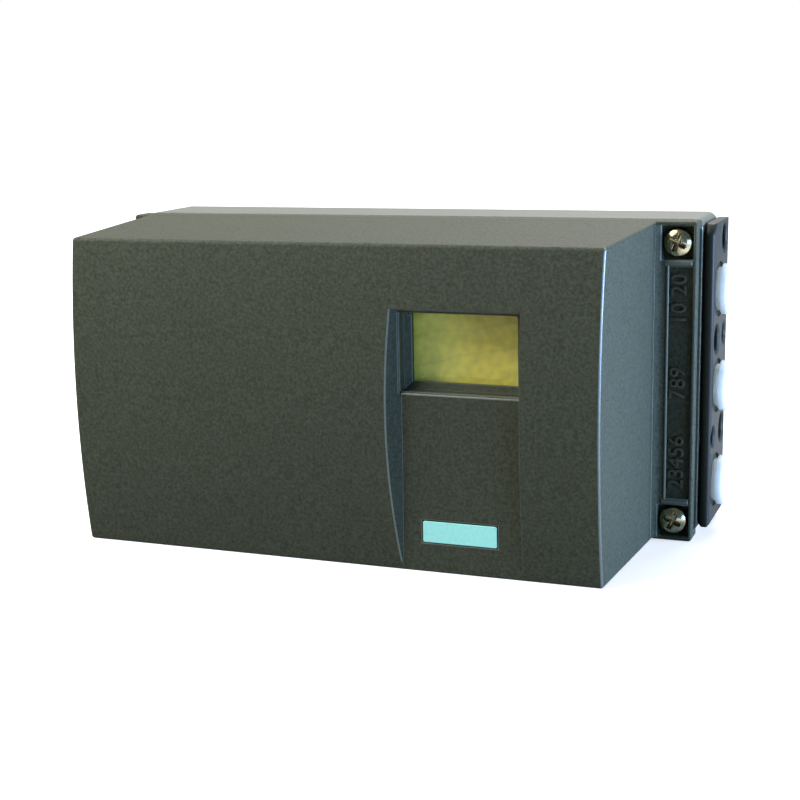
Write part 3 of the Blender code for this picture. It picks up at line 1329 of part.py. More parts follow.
def module_cover():
    """Front plate of the electronics with a raised display frame and key holes."""
    back = MODULE_Y + DISPLAY_FRAME + COVER_PLATE
    plate = block(
        "module_cover", (TRAY_LEFT, back - COVER_PLATE, height(TRAY_BOTTOM)),
        (TRAY_RIGHT, back, height(TRAY_TOP)), "grey_abs", edge=0.0005)
    half_wide = DISPLAY_WIDTH / 2
    half_tall = DISPLAY_HEIGHT / 2
    rim = DISPLAY_FRAME
    z = height(WINDOW_UP)
    join(plate, block(
        "display_frame", (WINDOW_X - half_wide - rim, MODULE_Y, z - half_tall - rim),
        (WINDOW_X + half_wide + rim, back - 0.0005, z + half_tall + rim), edge=0.0005))
    edge = FIT_GAP
    cut(plate, block(
        "display_seat", (WINDOW_X - half_wide - edge, MODULE_Y - 0.0010, z - half_tall - edge),
        (WINDOW_X + half_wide + edge, MODULE_Y + DISPLAY_THICKNESS + 0.0008, z + half_tall + edge)))
    for index, x in enumerate(key_places()):
        cut(plate, rod(
            f"key_hole_{index}", (x, back + 0.0010, height(KEY_UP)), "-Y", COVER_PLATE + 0.0020,
            KEY_RADIUS + FIT_GAP, sides=16))
    block(
        "display_glass",
        (WINDOW_X - half_wide, MODULE_Y + 0.0005, z - half_tall),
        (WINDOW_X + half_wide, MODULE_Y + 0.0005 + DISPLAY_THICKNESS, z + half_tall), "lcd_glass")
    return plate


def key_places():
    for index in range(3):
        yield WINDOW_X + KEY_PITCH * (index - 1)


def operator_keys():
    """Three keys with collars that stop them behind the module cover."""
    back = MODULE_Y + DISPLAY_FRAME + COVER_PLATE
    front = MODULE_Y + DISPLAY_FRAME - KEY_PROUD
    collar = 0.0010
    for name, x in zip(("left", "middle", "right"), key_places()):
        rest = back + FIT_GAP
        turned(
            f"key_{name}",
            [(0, -front), (KEY_RADIUS - 0.0006, -front), (KEY_RADIUS, -front - 0.0006),
             (KEY_RADIUS, -rest), (KEY_COLLAR_RADIUS, -rest), (KEY_COLLAR_RADIUS, -rest - collar),
             (0, -rest - collar)],
            (x, 0, height(KEY_UP)), "-Y", "grey_abs", steps=16)


def valve_block():
    """Pneumatic block with a spigot that reaches the port strip through the base wall."""
    body = block(
        "valve_block",
        (VALVE_LEFT, VALVE_FRONT, height(VALVE_BOTTOM)),
        (VALVE_RIGHT, FLOOR_Y - FIT_GAP, height(VALVE_TOP)), "cast_aluminium", edge=0.0010)
    join(body, block(
        "valve_spigot",
        (VALVE_RIGHT - 0.0010, SPIGOT_FRONT, height(SPIGOT_BOTTOM)),
        (BLOCK_X - FIT_GAP, SPIGOT_BACK, height(SPIGOT_TOP))))
    cut(body, block(
        "valve_channel", (VALVE_LEFT + 0.0120, VALVE_FRONT - 0.0010, height(VALVE_BOTTOM) - 0.0010),
        (VALVE_LEFT + 0.0150, VALVE_FRONT + 0.0030, height(VALVE_TOP) + 0.0010)))
    for index, up in enumerate((RESTRICTOR_LOWER, RESTRICTOR_UPPER)):
        cut(body, rod(
            f"restrictor_bore_{index}", (RESTRICTOR_X, VALVE_FRONT - 0.0010, height(up)), "Y",
            RESTRICTOR_LENGTH + FIT_GAP + 0.0010, RESTRICTOR_RADIUS + RUNNING_GAP * 2, sides=16))
    for index, (x, up) in enumerate(valve_screws()):
        cut(body, rod(
            f"valve_screw_hole_{index}", (x, VALVE_FRONT - 0.0010, height(up)), "Y", 0.0130,
            MODULE_SCREW_RADIUS + FIT_GAP, sides=16))
    purge_low = height(purge_up() - PURGE_TRAVEL) - PURGE_SIZE / 2 - FIT_GAP
    cut(body, block(
        "purge_slot",
        (RESTRICTOR_X - PURGE_SIZE / 2 - FIT_GAP, VALVE_FRONT - 0.0010, purge_low),
        (RESTRICTOR_X + PURGE_SIZE / 2 + FIT_GAP, VALVE_FRONT + 0.0030,
         height(purge_up()) + PURGE_SIZE / 2 + FIT_GAP)))
    return body


def valve_screws():
    yield VALVE_LEFT + 0.0060, VALVE_TOP - 0.0060
    yield VALVE_LEFT + 0.0060, VALVE_BOTTOM + 0.0060


def purge_up():
    return (RESTRICTOR_LOWER + RESTRICTOR_UPPER + PURGE_TRAVEL) / 2


def valve_fittings():
    """Screws, restrictors, purge-air slide, pilot valve and silencer of the pneumatics."""
    for name, (x, up) in zip(("upper", "lower"), valve_screws()):
        socket_screw(
            f"valve_screw_{name}", (x, VALVE_FRONT - FIT_GAP, height(up)), "Y",
            MODULE_SCREW_RADIUS, 0.0110, MODULE_SCREW_HEAD, MODULE_SCREW_HEAD_HEIGHT)
    for name, up in (("lower", RESTRICTOR_LOWER), ("upper", RESTRICTOR_UPPER)):
        place = (RESTRICTOR_X, VALVE_FRONT, height(up))
        screw = turned(
            f"restrictor_{name}",
            [(0, 0.0010), (RESTRICTOR_RADIUS - 0.0004, 0.0010), (RESTRICTOR_RADIUS, 0.0006),
             (RESTRICTOR_RADIUS, 0.0012 - RESTRICTOR_LENGTH), (0.0008, -RESTRICTOR_LENGTH),
             (0, -RESTRICTOR_LENGTH)],
            place, "-Y", "brass", steps=16)
        cut(screw, block(
            f"restrictor_slot_{name}",
            (RESTRICTOR_X - 0.0040, VALVE_FRONT - 0.0020, place[2] - 0.0004),
            (RESTRICTOR_X + 0.0040, VALVE_FRONT + 0.0002, place[2] + 0.0004)))
    half = PURGE_SIZE / 2
    z = height(purge_up())
    block(
        "purge_air_slide", (RESTRICTOR_X - half, VALVE_FRONT - 0.0016, z - half),
        (RESTRICTOR_X + half, VALVE_FRONT + 0.0030 - FIT_GAP, z + half), "white_acetal",
        edge=0.0003)
    pilot_valve()
    silencer()


def pilot_valve():
    """Piezo pilot unit beside the valve block, with cooling ribs."""
    right = VALVE_LEFT - FIT_GAP
    body = block(
        "pilot_valve", (PILOT_LEFT, PILOT_FRONT, height(PILOT_BOTTOM)),
        (right, FLOOR_Y - FIT_GAP, height(PILOT_TOP)), "grey_abs", edge=0.0008)
    count = 5
    pitch = (PILOT_TOP - PILOT_BOTTOM) / (count + 1)
    for index in range(count):
        z = height(PILOT_BOTTOM + pitch * (index + 1))
        cut(body, block(
            f"pilot_groove_{index}", (PILOT_LEFT - 0.0010, PILOT_FRONT - 0.0010, z - 0.0012),
            (right + 0.0010, PILOT_FRONT + 0.0020, z + 0.0012)))


def silencer():
    """Sintered exhaust plug in the bottom wall, kept off the ground."""
    collar = WALL + FIT_GAP
    turned(
        "silencer",
        [(0, 0.0100), (SILENCER_RADIUS - 0.0010, 0.0095), (SILENCER_RADIUS, 0.0080),
         (SILENCER_RADIUS, collar + 0.0015), (SILENCER_RADIUS + 0.0014, collar + 0.0015),
         (SILENCER_RADIUS + 0.0014, collar), (SILENCER_RADIUS, collar), (SILENCER_RADIUS, 0.0006),
         (0, 0.0006)],
        (SILENCER_X, ENTRY_Y, height(0)), "Z", "sintered_bronze")


def terminals():
    """Terminal board on the base's posts with two clamp blocks."""
    low = height(TERMINAL_BOARD_BOTTOM)
    high = height(TERMINAL_BOARD_TOP)
    board_front = TERMINAL_BOARD_Y - BOARD_THICKNESS
    board = block(
        "terminal_board", (TERMINAL_BOARD_LEFT, board_front, low),
        (TERMINAL_BOARD_RIGHT, TERMINAL_BOARD_Y, high), "circuit_board_green")
    posts = list(terminal_posts())
    for index, (x, z) in enumerate(posts):
        cut(board, rod(
            f"terminal_board_hole_{index}", (x, board_front - 0.0010, z), "Y", 0.0040,
            MODULE_SCREW_RADIUS + FIT_GAP, sides=16))
    length = TERMINAL_PITCH * TERMINAL_WAYS
    for name, z in (("lower", low + TERMINAL_END), ("upper", high - TERMINAL_END - length)):
        terminal_block(name, z, length, board_front - FIT_GAP)
    for name, (x, z) in (("upper", posts[1]), ("lower", posts[2])):
        socket_screw(
            f"terminal_screw_{name}", (x, board_front - FIT_GAP, z), "Y", MODULE_SCREW_RADIUS,
            0.0040, MODULE_SCREW_HEAD, MODULE_SCREW_HEAD_HEIGHT)


def terminal_block(name, low, length, back):
    """Row of wire clamps: a wire hole on the left and a screw well in front of each."""
    left = TERMINAL_BOARD_LEFT + 0.0028
    right = left + TERMINAL_WIDTH
    front = back - TERMINAL_DEPTH
    body = block(
        f"terminal_block_{name}", (left, front, low), (right, back, low + length),
        "green_polyamide", edge=0.0005)
    for way in range(TERMINAL_WAYS):
        z = low + TERMINAL_PITCH * (way + 0.5)
        cut(body, rod(
            f"terminal_{name}_wire_{way}", (left - 0.0010, back - TERMINAL_DEPTH * 0.35, z), "X",
            0.0080, 0.0018, sides=8))
        cut(body, rod(
            f"terminal_{name}_well_{way}", (left + 0.0048, front - 0.0010, z), "Y", 0.0045, 0.0021,
            sides=8))


def strip_fasteners():
    for name, (y, up) in zip(("lower", "upper"), strip_screws()):
        socket_screw(
            f"strip_screw_{name}", (LEDGE_INNER_X - FIT_GAP, y, height(up)), "X",
            STRIP_SCREW_RADIUS, BLOCK_X - LEDGE_INNER_X + 0.0045, STRIP_SCREW_HEAD,
            STRIP_SCREW_HEAD_HEIGHT)


def main():
    clear_scene()
    base_housing()
    port_strip()
    strip_gasket()
    strip_fasteners()
    port_caps()
    cover()
    cover_trim()
    cover_screws()
    cable_entries()
    ground_screw()
    feedback_shaft()
    shaft_bearing()
    gear_train()
    gear_bracket()
    ratio_selector()
    electronics_tray()
    module_screws()
    main_board()
    module_cover()
    operator_keys()
    valve_block()
    valve_fittings()
    terminals()
    bpy.context.view_layer.update()


main()
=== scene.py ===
"""Looks of an electropneumatic valve positioner, laid out as a Blender add-on and run as a script."""

import math

import bmesh
import bpy
from mathutils import Matrix, Vector


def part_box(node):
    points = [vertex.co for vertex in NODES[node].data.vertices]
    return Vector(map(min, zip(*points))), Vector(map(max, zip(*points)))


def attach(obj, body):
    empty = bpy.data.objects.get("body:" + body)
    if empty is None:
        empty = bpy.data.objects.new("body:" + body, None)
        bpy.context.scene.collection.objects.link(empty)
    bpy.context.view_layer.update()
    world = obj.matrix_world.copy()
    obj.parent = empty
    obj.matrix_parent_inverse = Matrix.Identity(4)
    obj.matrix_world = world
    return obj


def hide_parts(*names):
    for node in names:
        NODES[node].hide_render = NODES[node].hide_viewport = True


bl_info = {
    "name": "Valve Positioner",
    "version": (1, 0, 0),
    "blender": (4, 5, 0),
    "location": "View3D > Sidebar > Positioner",
    "description": "Moulded cover, window, port strip and inner works of a valve positioner",
    "category": "Object",
}

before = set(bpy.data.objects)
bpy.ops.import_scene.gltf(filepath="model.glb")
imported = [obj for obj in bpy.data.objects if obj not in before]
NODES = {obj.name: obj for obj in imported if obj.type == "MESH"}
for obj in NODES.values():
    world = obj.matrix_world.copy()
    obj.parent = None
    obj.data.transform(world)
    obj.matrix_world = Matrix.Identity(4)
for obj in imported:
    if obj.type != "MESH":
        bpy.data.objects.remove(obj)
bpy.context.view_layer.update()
MM = 0.001

TO_X = Matrix.Rotation(math.pi / 2, 4, "Y")
TO_MINUS_X = Matrix.Rotation(-math.pi / 2, 4, "Y")
TO_Y = Matrix.Rotation(-math.pi / 2, 4, "X")
TO_MINUS_Y = Matrix.Rotation(math.pi / 2, 4, "X")
UPRIGHT = Matrix.Identity(4)


# Sizes and colours that a user would change


def length(label, text, default):
    """Length property in metres."""
    return bpy.props.FloatProperty(
        name=label, description=text, default=default, precision=5, unit="LENGTH")


def colour(label, text, code):
    """Colour property from an sRGB hex value."""
    return bpy.props.FloatVectorProperty(
        name=label, description=text, default=hex_colour(code), size=3, min=0, max=1,
        subtype="COLOR")


def hex_colour(code):
    """Linear red, green and blue of an sRGB hex value."""
    channels = []
    for start in (1, 3, 5):
        value = int(code[start:start + 2], 16) / 255
        channels.append(value / 12.92 if value <= 0.04045 else ((value + 0.055) / 1.055) ** 2.4)
    return tuple(channels)


class CoverSizes(bpy.types.PropertyGroup):
    """Outside of the moulded cover"""

    left: length("Left side", "X of the left wall where the flange begins", -0.0874)
    right: length("Right side", "X of the right wall where the flange begins", 0.0807)
    wall: length("Wall", "Thickness of the moulding", 0.0032)
    side_draft: length("Side draft", "How far each side leans in over the cover's depth", 0.0033)
    top_draft: length("Top draft", "How far the top leans down over the cover's depth", 0.0023)
    bulge: length("Bulge", "How far the front arches out between its lower and upper edge", 0.0041)
    edge: length("Edge radius", "Rounding of the outer edges", 0.0009)
    fillet: length("Root fillet", "Hollow radius between side walls and flanges", 0.0030)
    flange: length("Flange", "Thickness of the screw flanges", 0.0090)
    seam: length("Seam", "Width of the shadow gap between cover and base", 0.0009)
    boss: length("Corner boss", "Height of the bosses that hold the screws", 0.0145)
    boss_width: length("Boss width", "Width of the bosses that hold the screws", 0.0128)


class RecessSizes(bpy.types.PropertyGroup):
    """Shallow recess in the front with window and name plate"""

    left: length("Left edge", "X of the curved left edge at half height", 0.01645)
    right: length("Right edge", "X of the straight right edge", 0.0552)
    top: length("Top edge", "World height of the recess's upper edge", 0.02785)
    bow: length("Bow", "Radius of the curved left edge", 0.350)
    floor: length("Floor", "Y of the flat floor", -0.0844)
    window_width: length("Window width", "Width of the window's outer step", 0.0346)
    window_height: length("Window height", "Height of the window's outer step", 0.0222)
    window_margin: length("Window margin", "Rim between window and recess", 0.0013)
    window_depth: length("Window depth", "Depth of the straight step", 0.0040)
    window_slope: length("Window slope", "Width and depth of the sloping step", 0.0019)
    plate_width: length("Plate width", "Width of the blank name plate", 0.0218)
    plate_height: length("Plate height", "Height of the blank name plate", 0.0061)
    plate_level: length("Plate level", "World height of the plate's centre", -0.03575)


class FastenerSizes(bpy.types.PropertyGroup):
    """Cover screws and the port caps"""

    screw_x: length("Screw place", "Distance of the cover screws from the middle", 0.0866)
    screw_z: length("Screw level", "Height of the cover screws above and below the middle", 0.04155)
    head: length("Head radius", "Radius of the pan heads", 0.0044)
    cap: length("Cap radius", "Radius of the port caps' rims", 0.0076)


class FinishColours(bpy.types.PropertyGroup):
    """Colours of the main finishes"""

    cover: colour("Cover", "Moulded polycarbonate of the cover", "#3A3D2E")
    base: colour("Base", "Moulded polycarbonate of the base", "#4B5143")
    plate: colour("Name plate", "Printed film of the name plate", "#A4ECDB")
    display: colour("Display", "Liquid crystal display without current", "#FFF04F")


# Shaders


def add_node(tree, kind, inputs=None, **settings):
    """Shader node with its settings; an input is a value, or a (node, output) pair to link."""
    node = tree.nodes.new(kind)
    for name, value in settings.items():
        setattr(node, name, value)
    for name, value in (inputs or {}).items():
        if isinstance(value, tuple) and isinstance(value[0], bpy.types.Node):
            tree.links.new(value[0].outputs[value[1]], node.inputs[name])
        else:
            node.inputs[name].default_value = value
    return node


def empty_material(name):
    """New node material with a Principled shader wired to the output."""
    material = bpy.data.materials.new(name)
    material.use_nodes = True
    tree = material.node_tree
    tree.nodes.clear()
    shader = add_node(tree, "ShaderNodeBsdfPrincipled")
    add_node(tree, "ShaderNodeOutputMaterial", {"Surface": (shader, "BSDF")})
    return material, tree, shader


def scale_for(size):
    """Texture scale whose features have a real size, given in millimetres."""
    return 1000.0 / size


def shade_range(tree, source, low, high, start=0.35, stop=0.65):
    """Blend between two linear colours by a texture."""
    blend = add_node(tree, "ShaderNodeMapRange", {
        "Value": (source, 0), "From Min": start, "From Max": stop})
    return add_node(tree, "ShaderNodeMix", {
        0: (blend, "Result"), 6: (*low, 1.0), 7: (*high, 1.0)}, data_type="RGBA")


def darker(rgb, amount):
    return tuple(channel * (1 - amount) for channel in rgb)


def moulded_plastic(name, rgb, roughness, grain, relief, variation=0.08, gloss=0.5):
    """Spark-eroded moulding: fine even grain in the tool, its pits painted darker as shade, slight cloudiness in the
    pigment.
    """
    material, tree, shader = empty_material(name)
    place = add_node(tree, "ShaderNodeTexCoord")
    fine = add_node(tree, "ShaderNodeTexNoise", {
        "Vector": (place, "Object"), "Scale": scale_for(grain), "Detail": 3.0, "Roughness": 0.65})
    cloud = add_node(tree, "ShaderNodeTexNoise", {
        "Vector": (place, "Object"), "Scale": scale_for(28), "Detail": 4.0})
    # The grain's colour follows its bump: darker in the pits and lighter on the peaks, as painted shade of the
    # relief.
    mixed = shade_range(tree, fine, darker(rgb, variation * 1.6), darker(rgb, -variation), 0.3, 0.7)
    tone = add_node(tree, "ShaderNodeMapRange", {
        "Value": (cloud, 0), "To Min": 1 - variation / 2, "To Max": 1 + variation / 2})
    tint = add_node(tree, "ShaderNodeHueSaturation", {
        "Color": (mixed, 2), "Value": (tone, "Result")})
    sheen = add_node(tree, "ShaderNodeMapRange", {
        "Value": (fine, 0), "To Min": roughness - 0.09, "To Max": roughness + 0.12})
    bump = add_node(tree, "ShaderNodeBump", {
        "Height": (fine, 0), "Strength": 0.5, "Distance": relief * MM})
    # The grain's peaks are rubbed smoother than its pits, so they mirror more.
    mirror = add_node(tree, "ShaderNodeMapRange", {
        "Value": (fine, 0), "From Min": 0.35, "From Max": 0.65,
        "To Min": gloss * (1 - 4 * variation), "To Max": gloss * (1 + 4 * variation)})
    tree.links.new(tint.outputs["Color"], shader.inputs["Base Color"])
    tree.links.new(sheen.outputs["Result"], shader.inputs["Roughness"])
    tree.links.new(mirror.outputs["Result"], shader.inputs["Specular IOR Level"])
    tree.links.new(bump.outputs["Normal"], shader.inputs["Normal"])
    shader.inputs["IOR"].default_value = 1.5
    return material


def plated_metal(name, rgb, roughness, stain, scratch=0.25):
    """Metal with fine scratches and a faint uneven film from plating or handling."""
    material, tree, shader = empty_material(name)
    place = add_node(tree, "ShaderNodeTexCoord")
    stretch = add_node(tree, "ShaderNodeMapping", {
        "Vector": (place, "Object"), "Scale": (1.0, 6.0, 1.0)})
    marks = add_node(tree, "ShaderNodeTexNoise", {
        "Vector": (stretch, "Vector"), "Scale": scale_for(scratch), "Detail": 4.0})
    film = add_node(tree, "ShaderNodeTexNoise", {
        "Vector": (place, "Object"), "Scale": scale_for(2.5), "Detail": 3.0})
    mixed = shade_range(tree, film, rgb, stain)
    dull = add_node(tree, "ShaderNodeMapRange", {
        "Value": (marks, 0), "To Min": roughness - 0.08, "To Max": roughness + 0.14})
    bump = add_node(tree, "ShaderNodeBump", {
        "Height": (marks, 0), "Strength": 0.25, "Distance": 0.02 * MM})
    tree.links.new(mixed.outputs[2], shader.inputs["Base Color"])
    tree.links.new(dull.outputs["Result"], shader.inputs["Roughness"])
    tree.links.new(bump.outputs["Normal"], shader.inputs["Normal"])
    shader.inputs["Metallic"].default_value = 1.0
    return material


def anodised_aluminium(name, rgb):
    """Black dyed oxide on milled aluminium: a soft sheen with the cutter's faint lines."""
    material, tree, shader = empty_material(name)
    place = add_node(tree, "ShaderNodeTexCoord")
    lines = add_node(tree, "ShaderNodeTexWave", {
        "Vector": (place, "Object"), "Scale": scale_for(5.0), "Distortion": 1.5,
        "Detail": 3.0}, bands_direction="Y")
    dust = add_node(tree, "ShaderNodeTexNoise", {
        "Vector": (place, "Object"), "Scale": scale_for(0.8), "Detail": 4.0})
    mixed = shade_range(tree, dust, darker(rgb, 0.2), darker(rgb, -0.25))
    dull = add_node(tree, "ShaderNodeMapRange", {
        "Value": (dust, 0), "To Min": 0.42, "To Max": 0.58})
    bump = add_node(tree, "ShaderNodeBump", {
        "Height": (lines, 0), "Strength": 0.15, "Distance": 0.02 * MM})
    tree.links.new(mixed.outputs[2], shader.inputs["Base Color"])
    tree.links.new(dull.outputs["Result"], shader.inputs["Roughness"])
    tree.links.new(bump.outputs["Normal"], shader.inputs["Normal"])
    shader.inputs["Specular IOR Level"].default_value = 0.22
    return material


def milky_polyethylene(name, rgb):
    """Soft translucent plug moulding: light enters it, and its skin is waxy."""
    material, tree, shader = empty_material(name)
    place = add_node(tree, "ShaderNodeTexCoord")
    flow = add_node(tree, "ShaderNodeTexNoise", {
        "Vector": (place, "Object"), "Scale": scale_for(3.0), "Detail": 3.0})
    mixed = shade_range(tree, flow, darker(rgb, 0.08), rgb)
    dull = add_node(tree, "ShaderNodeMapRange", {
        "Value": (flow, 0), "To Min": 0.32, "To Max": 0.46})
    tree.links.new(mixed.outputs[2], shader.inputs["Base Color"])
    tree.links.new(dull.outputs["Result"], shader.inputs["Roughness"])
    shader.inputs["Subsurface Weight"].default_value = 0.85
    shader.inputs["Subsurface Radius"].default_value = (10 * MM, 10 * MM, 10 * MM)
    shader.inputs["Subsurface Scale"].default_value = 1.0
    return material


def clear_pane(name):
    """Clear moulded window: it shows only its tint and its gloss."""
    material, tree, shader = empty_material(name)
    place = add_node(tree, "ShaderNodeTexCoord")
    swirl = add_node(tree, "ShaderNodeTexNoise", {
        "Vector": (place, "Object"), "Scale": scale_for(9.0), "Detail": 2.0})
    bump = add_node(tree, "ShaderNodeBump", {
        "Height": (swirl, 0), "Strength": 0.1, "Distance": 0.1 * MM})
    dull = add_node(tree, "ShaderNodeMapRange", {
        "Value": (swirl, 0), "To Min": 0.04, "To Max": 0.10})
    tree.links.new(bump.outputs["Normal"], shader.inputs["Normal"])
    tree.links.new(dull.outputs["Result"], shader.inputs["Roughness"])
    shader.inputs["Base Color"].default_value = (*hex_colour("#D8DCC8"), 1.0)
    shader.inputs["Alpha"].default_value = 0.05
    shader.inputs["IOR"].default_value = 1.58
    return material


def liquid_crystal(name, rgb):
    """Reflective display behind a wrinkled protective film, with painted shade along the film's creases."""
    material, tree, shader = empty_material(name)
    place = add_node(tree, "ShaderNodeTexCoord")
    crease = add_node(tree, "ShaderNodeMapping", {
        "Vector": (place, "Object"), "Rotation": (0.0, 0.5, 0.0), "Scale": (1.0, 1.0, 3.0)})
    folds = add_node(tree, "ShaderNodeTexNoise", {
        "Vector": (crease, "Vector"), "Scale": scale_for(16), "Detail": 2.0, "Distortion": 1.2})
    mottling = add_node(tree, "ShaderNodeTexNoise", {
        "Vector": (place, "Object"), "Scale": scale_for(2.5), "Detail": 6.0})
    mixed = shade_range(tree, mottling, darker(rgb, 0.12), darker(rgb, -0.10))
    # Thin darker lines along the film's creases are painted shade.
    painted_crease_shade = add_node(tree, "ShaderNodeTexWave", {
        "Vector": (crease, "Vector"), "Scale": scale_for(60), "Distortion": 9.0, "Detail": 2.0,
        "Detail Scale": 1.5}, bands_direction="Z")
    lines = add_node(tree, "ShaderNodeMapRange", {
        "Value": (painted_crease_shade, 1), "From Min": 0.0, "From Max": 0.08, "To Min": 0.91, "To Max": 1.0})
    shaded = add_node(tree, "ShaderNodeHueSaturation", {
        "Color": (mixed, 2), "Value": (lines, "Result")})
    bump = add_node(tree, "ShaderNodeBump", {
        "Height": (folds, 0), "Strength": 0.9, "Distance": 1.2 * MM})
    tree.links.new(shaded.outputs["Color"], shader.inputs["Base Color"])
    tree.links.new(bump.outputs["Normal"], shader.inputs["Coat Normal"])
    shader.inputs["Roughness"].default_value = 0.45
    shader.inputs["Specular IOR Level"].default_value = 0.2
    shader.inputs["Coat Weight"].default_value = 0.4
    shader.inputs["Coat Roughness"].default_value = 0.12
    return material


def rubber(name, rgb):
    """Moulded elastomer: matt, with a dusty bloom."""
    return moulded_plastic(name, rgb, 0.82, 0.5, 0.06, variation=0.2, gloss=0.3)


def sintered_metal(name, rgb, stain):
    """Bronze beads pressed and baked together, with open pores between them."""
    material, tree, shader = empty_material(name)
    place = add_node(tree, "ShaderNodeTexCoord")
    beads = add_node(tree, "ShaderNodeTexVoronoi", {
        "Vector": (place, "Object"), "Scale": scale_for(0.45)})
    mixed = shade_range(tree, beads, stain, rgb, 0.1, 0.6)
    bump = add_node(tree, "ShaderNodeBump", {
        "Height": (beads, "Distance"), "Strength": 0.8, "Distance": -0.2 * MM})
    tree.links.new(mixed.outputs[2], shader.inputs["Base Color"])
    tree.links.new(bump.outputs["Normal"], shader.inputs["Normal"])
    shader.inputs["Metallic"].default_value = 1.0
    shader.inputs["Roughness"].default_value = 0.62
    return material


def circuit_board(name):
    """Green solder mask over copper tracks, on woven glass laminate."""
    material, tree, shader = empty_material(name)
    place = add_node(tree, "ShaderNodeTexCoord")
    weave = add_node(tree, "ShaderNodeTexWave", {
        "Vector": (place, "Object"), "Scale": scale_for(5.0)}, bands_direction="Z")
    tracks = add_node(tree, "ShaderNodeTexBrick", {
        "Vector": (place, "Object"), "Scale": scale_for(9.0), "Mortar Size": 0.05,
        "Color1": (0, 0, 0, 1), "Color2": (0.1, 0.1, 0.1, 1), "Mortar": (1, 1, 1, 1)})
    mixed = shade_range(tree, tracks, hex_colour("#12603A"), hex_colour("#2E8653"), 0.2, 0.9)
    bump = add_node(tree, "ShaderNodeBump", {
        "Height": (weave, 0), "Strength": 0.1, "Distance": 0.03 * MM})
    tree.links.new(mixed.outputs[2], shader.inputs["Base Color"])
    tree.links.new(bump.outputs["Normal"], shader.inputs["Normal"])
    shader.inputs["Roughness"].default_value = 0.32
    return material


FINISHES = {}


def finish(kind):
    """Material of a finish, made the first time it is asked for."""
    if kind in FINISHES:
        return FINISHES[kind]
    name = f"{kind}_surface"
    colours = bpy.context.scene.positioner_colours
    makers = {
        "grained_polycarbonate": lambda: moulded_plastic(name, tuple(colours.cover), 0.60, 0.90, 0.35, 0.13, 0.2),
        "smooth_polycarbonate": lambda: moulded_plastic(
            name, tuple(colours.cover), 0.42, 0.90, 0.05, 0.06, 0.4),
        # Polished mould edges: glossier, and lighter than the cover as a painted highlight.
        "polished_painted_highlight_polycarbonate": lambda: moulded_plastic(
            name, hex_colour("#565C4F"), 0.34, 0.75, 0.03, 0.05, gloss=0.6),
        "base_polycarbonate": lambda: moulded_plastic(name, tuple(colours.base), 0.34, 0.60, 0.03, 0.12, 0.5),
        "black_anodised_aluminium": lambda: anodised_aluminium(name, hex_colour("#1A1D15")),
        "zinc_plated_steel": lambda: plated_metal(
            name, hex_colour("#C9C6BD"), 0.30, hex_colour("#A9A594")),
        "yellow_passivated_steel": lambda: plated_metal(
            name, hex_colour("#CBC5A8"), 0.16, hex_colour("#8F8562")),
        "stainless_steel": lambda: plated_metal(
            name, hex_colour("#BFBFBE"), 0.26, hex_colour("#A8A8A9"), 0.4),
        "turned_brass": lambda: plated_metal(
            name, hex_colour("#D2AE62"), 0.28, hex_colour("#AE8741")),
        "cast_aluminium": lambda: plated_metal(
            name, hex_colour("#B4B6B8"), 0.48, hex_colour("#96999C"), 0.9),
        "milky_polyethylene": lambda: milky_polyethylene(name, hex_colour("#FAEFDB")),
        "clear_polycarbonate": lambda: clear_pane(name),
        "printed_film": lambda: moulded_plastic(name, tuple(colours.plate), 0.34, 0.9, 0.01, 0.04),
        "liquid_crystal_display": lambda: liquid_crystal(name, tuple(colours.display)),
        "black_rubber": lambda: rubber(name, hex_colour("#1D1D1D")),
        "yellow_acetal": lambda: moulded_plastic(name, hex_colour("#E3B52A"), 0.42, 1.4, 0.03, 0.05),
        "white_acetal": lambda: moulded_plastic(name, hex_colour("#E4E2DA"), 0.42, 1.4, 0.03, 0.04),
        "grey_abs": lambda: moulded_plastic(name, hex_colour("#8C9094"), 0.46, 0.8, 0.05, 0.05),
        "green_polyamide": lambda: moulded_plastic(name, hex_colour("#2F7A45"), 0.48, 0.8, 0.05, 0.06),
        "black_polyamide": lambda: moulded_plastic(name, hex_colour("#262626"), 0.48, 0.8, 0.06, 0.12),
        "circuit_board": lambda: circuit_board(name),
        "sintered_bronze": lambda: sintered_metal(
            name, hex_colour("#B58A4C"), hex_colour("#4D371C")),
    }
    FINISHES[kind] = makers[kind]()
    return FINISHES[kind]


# Shapes


def new_piece(name, bm, material, body, replaced=()):
    """Object from a bmesh in the row frame, which rides on a body."""
    bmesh.ops.recalc_face_normals(bm, faces=bm.faces)
    mesh = bpy.data.meshes.new(name)
    bm.to_mesh(mesh)
    bm.free()
    piece = bpy.data.objects.new(name, mesh)
    bpy.context.scene.collection.objects.link(piece)
    return dress(piece, material, body, replaced)


def dress(piece, material, body, replaced=()):
    piece.data.materials.clear()
    piece.data.materials.append(finish(material))
    piece.data.shade_smooth()
    piece.data.set_sharp_from_angle(angle=math.radians(38))
    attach(piece, body)
    if replaced:
        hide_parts(*replaced)
    return piece


def round_edges(piece, width, segments=3, angle=30):
    """Live bevel with normals that keep the flat faces flat."""
    bevel = piece.modifiers.new("rounded edges", "BEVEL")
    bevel.width = width
    bevel.segments = segments
    bevel.limit_method = "ANGLE"
    bevel.angle_limit = math.radians(angle)
    bevel.use_clamp_overlap = False
    piece.modifiers.new("even shading", "WEIGHTED_NORMAL").keep_sharp = False


def box_mesh(low, high):
    bm = bmesh.new()
    bmesh.ops.create_cube(bm, size=1.0)
    low = Vector(low)
    high = Vector(high)
    bmesh.ops.scale(bm, vec=high - low, verts=bm.verts)
    bmesh.ops.translate(bm, vec=(low + high) / 2, verts=bm.verts)
    return bm


def tapered_box(low, high, shrink):
    """Box whose rear face is smaller by shrink on each side."""
    bm = box_mesh(low, high)
    middle = (Vector(low) + Vector(high)) / 2
    for vert in bm.verts:
        if vert.co.y > middle.y:
            vert.co.x -= math.copysign(shrink, vert.co.x - middle.x)
            vert.co.z -= math.copysign(shrink, vert.co.z - middle.z)
    return bm


